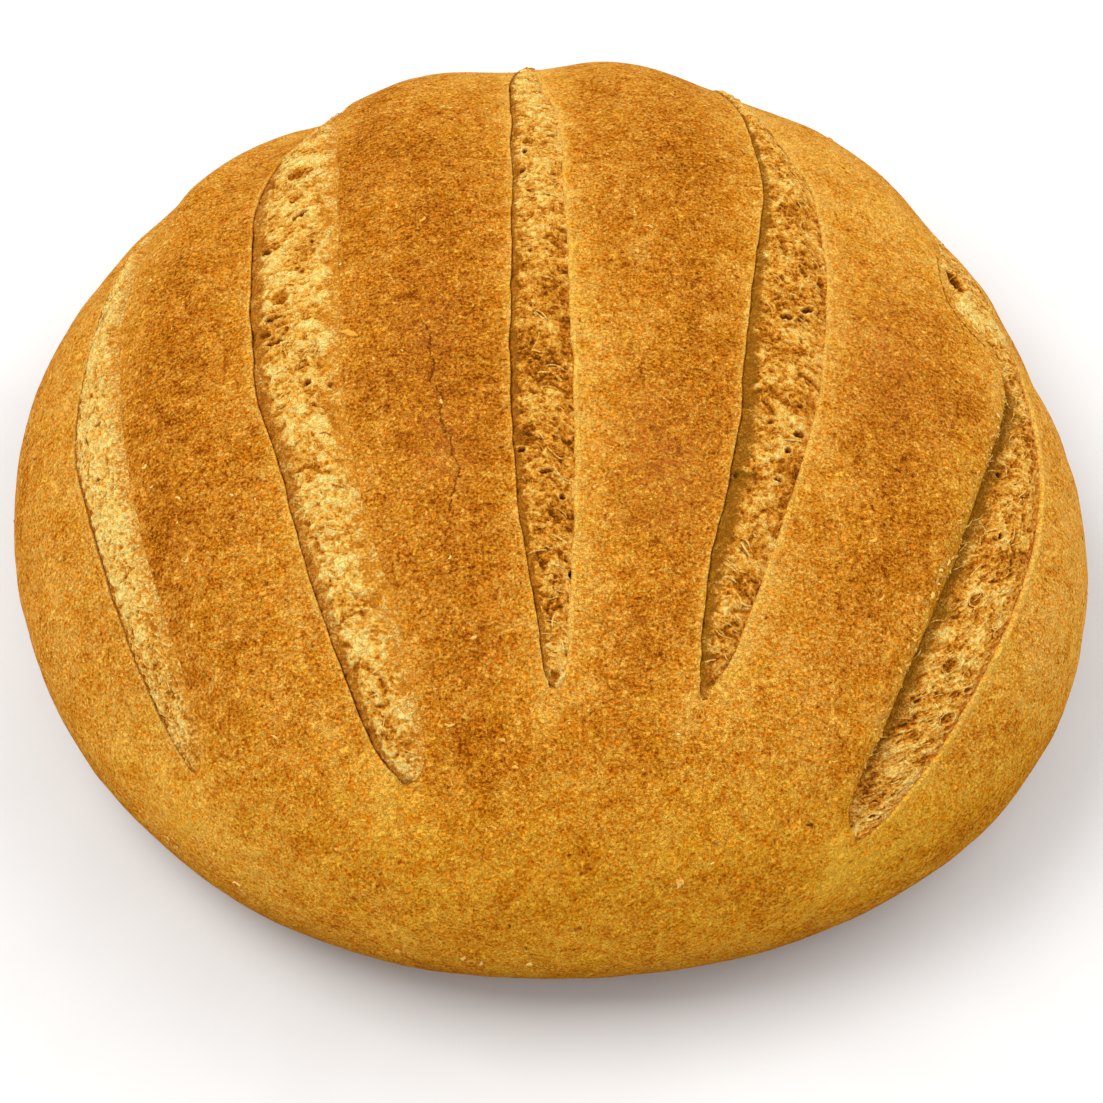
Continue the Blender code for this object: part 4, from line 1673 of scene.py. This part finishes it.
class LoafStage(bpy.types.PropertyGroup):
    """Values of the stage."""

    brightness: FloatProperty(name="Brightness", description="Scale of all lights", default=1.0, min=0.0)


class LOAF_OT_crust(bpy.types.Operator):
    """Build the crust over the solid loaf"""

    bl_idname = "loaf.crust"
    bl_label = "Crust"

    def execute(self, context):
        build_crust()
        return {"FINISHED"}


class LOAF_OT_crumb(bpy.types.Operator):
    """Fill every slash with torn crumb"""

    bl_idname = "loaf.crumb"
    bl_label = "Crumb"

    def execute(self, context):
        for number in range(len(SLASHES)):
            build_crumb(number)
        return {"FINISHED"}


class LOAF_OT_strands(bpy.types.Operator):
    """Lay thin strands and rings over the torn crumb"""

    bl_idname = "loaf.strands"
    bl_label = "Strands"

    def execute(self, context):
        build_strands()
        return {"FINISHED"}


class LOAF_OT_flakes(bpy.types.Operator):
    """Scatter flakes over the crust"""

    bl_idname = "loaf.flakes"
    bl_label = "Flakes"

    def execute(self, context):
        build_flakes()
        return {"FINISHED"}


class LOAF_OT_stage(bpy.types.Operator):
    """Set up the floor, the lights and the camera"""

    bl_idname = "loaf.stage"
    bl_label = "Stage"

    def execute(self, context):
        build_floor()
        build_lights()
        build_camera()
        return {"FINISHED"}


class LOAF_PT_panel(bpy.types.Panel):
    """The loaf's builders and values"""

    bl_label = "Sourdough Loaf"
    bl_space_type = "VIEW_3D"
    bl_region_type = "UI"
    bl_category = "Loaf"

    def draw(self, context):
        for group in (context.scene.loaf_form, context.scene.loaf_colours, context.scene.loaf_stage):
            for name in group.__annotations__:
                self.layout.prop(group, name)
        for operator in OPERATORS:
            self.layout.operator(operator.bl_idname)


OPERATORS = (LOAF_OT_crust, LOAF_OT_crumb, LOAF_OT_strands, LOAF_OT_flakes, LOAF_OT_stage)
CLASSES = (LoafForm, LoafColours, LoafStage, *OPERATORS, LOAF_PT_panel)


def register():
    """Adds the operators, the panel and the values to Blender."""
    for item in CLASSES:
        bpy.utils.register_class(item)
    bpy.types.Scene.loaf_form = PointerProperty(type=LoafForm)
    bpy.types.Scene.loaf_colours = PointerProperty(type=LoafColours)
    bpy.types.Scene.loaf_stage = PointerProperty(type=LoafStage)


def unregister():
    """Takes them away again."""
    del bpy.types.Scene.loaf_stage
    del bpy.types.Scene.loaf_colours
    del bpy.types.Scene.loaf_form
    for item in reversed(CLASSES):
        bpy.utils.unregister_class(item)


def main():
    """Builds the loaf and its stage."""
    register()
    bpy.ops.loaf.crust()
    bpy.ops.loaf.crumb()
    bpy.ops.loaf.strands()
    bpy.ops.loaf.flakes()
    bpy.ops.loaf.stage()


if __name__ == "__main__":
    main()
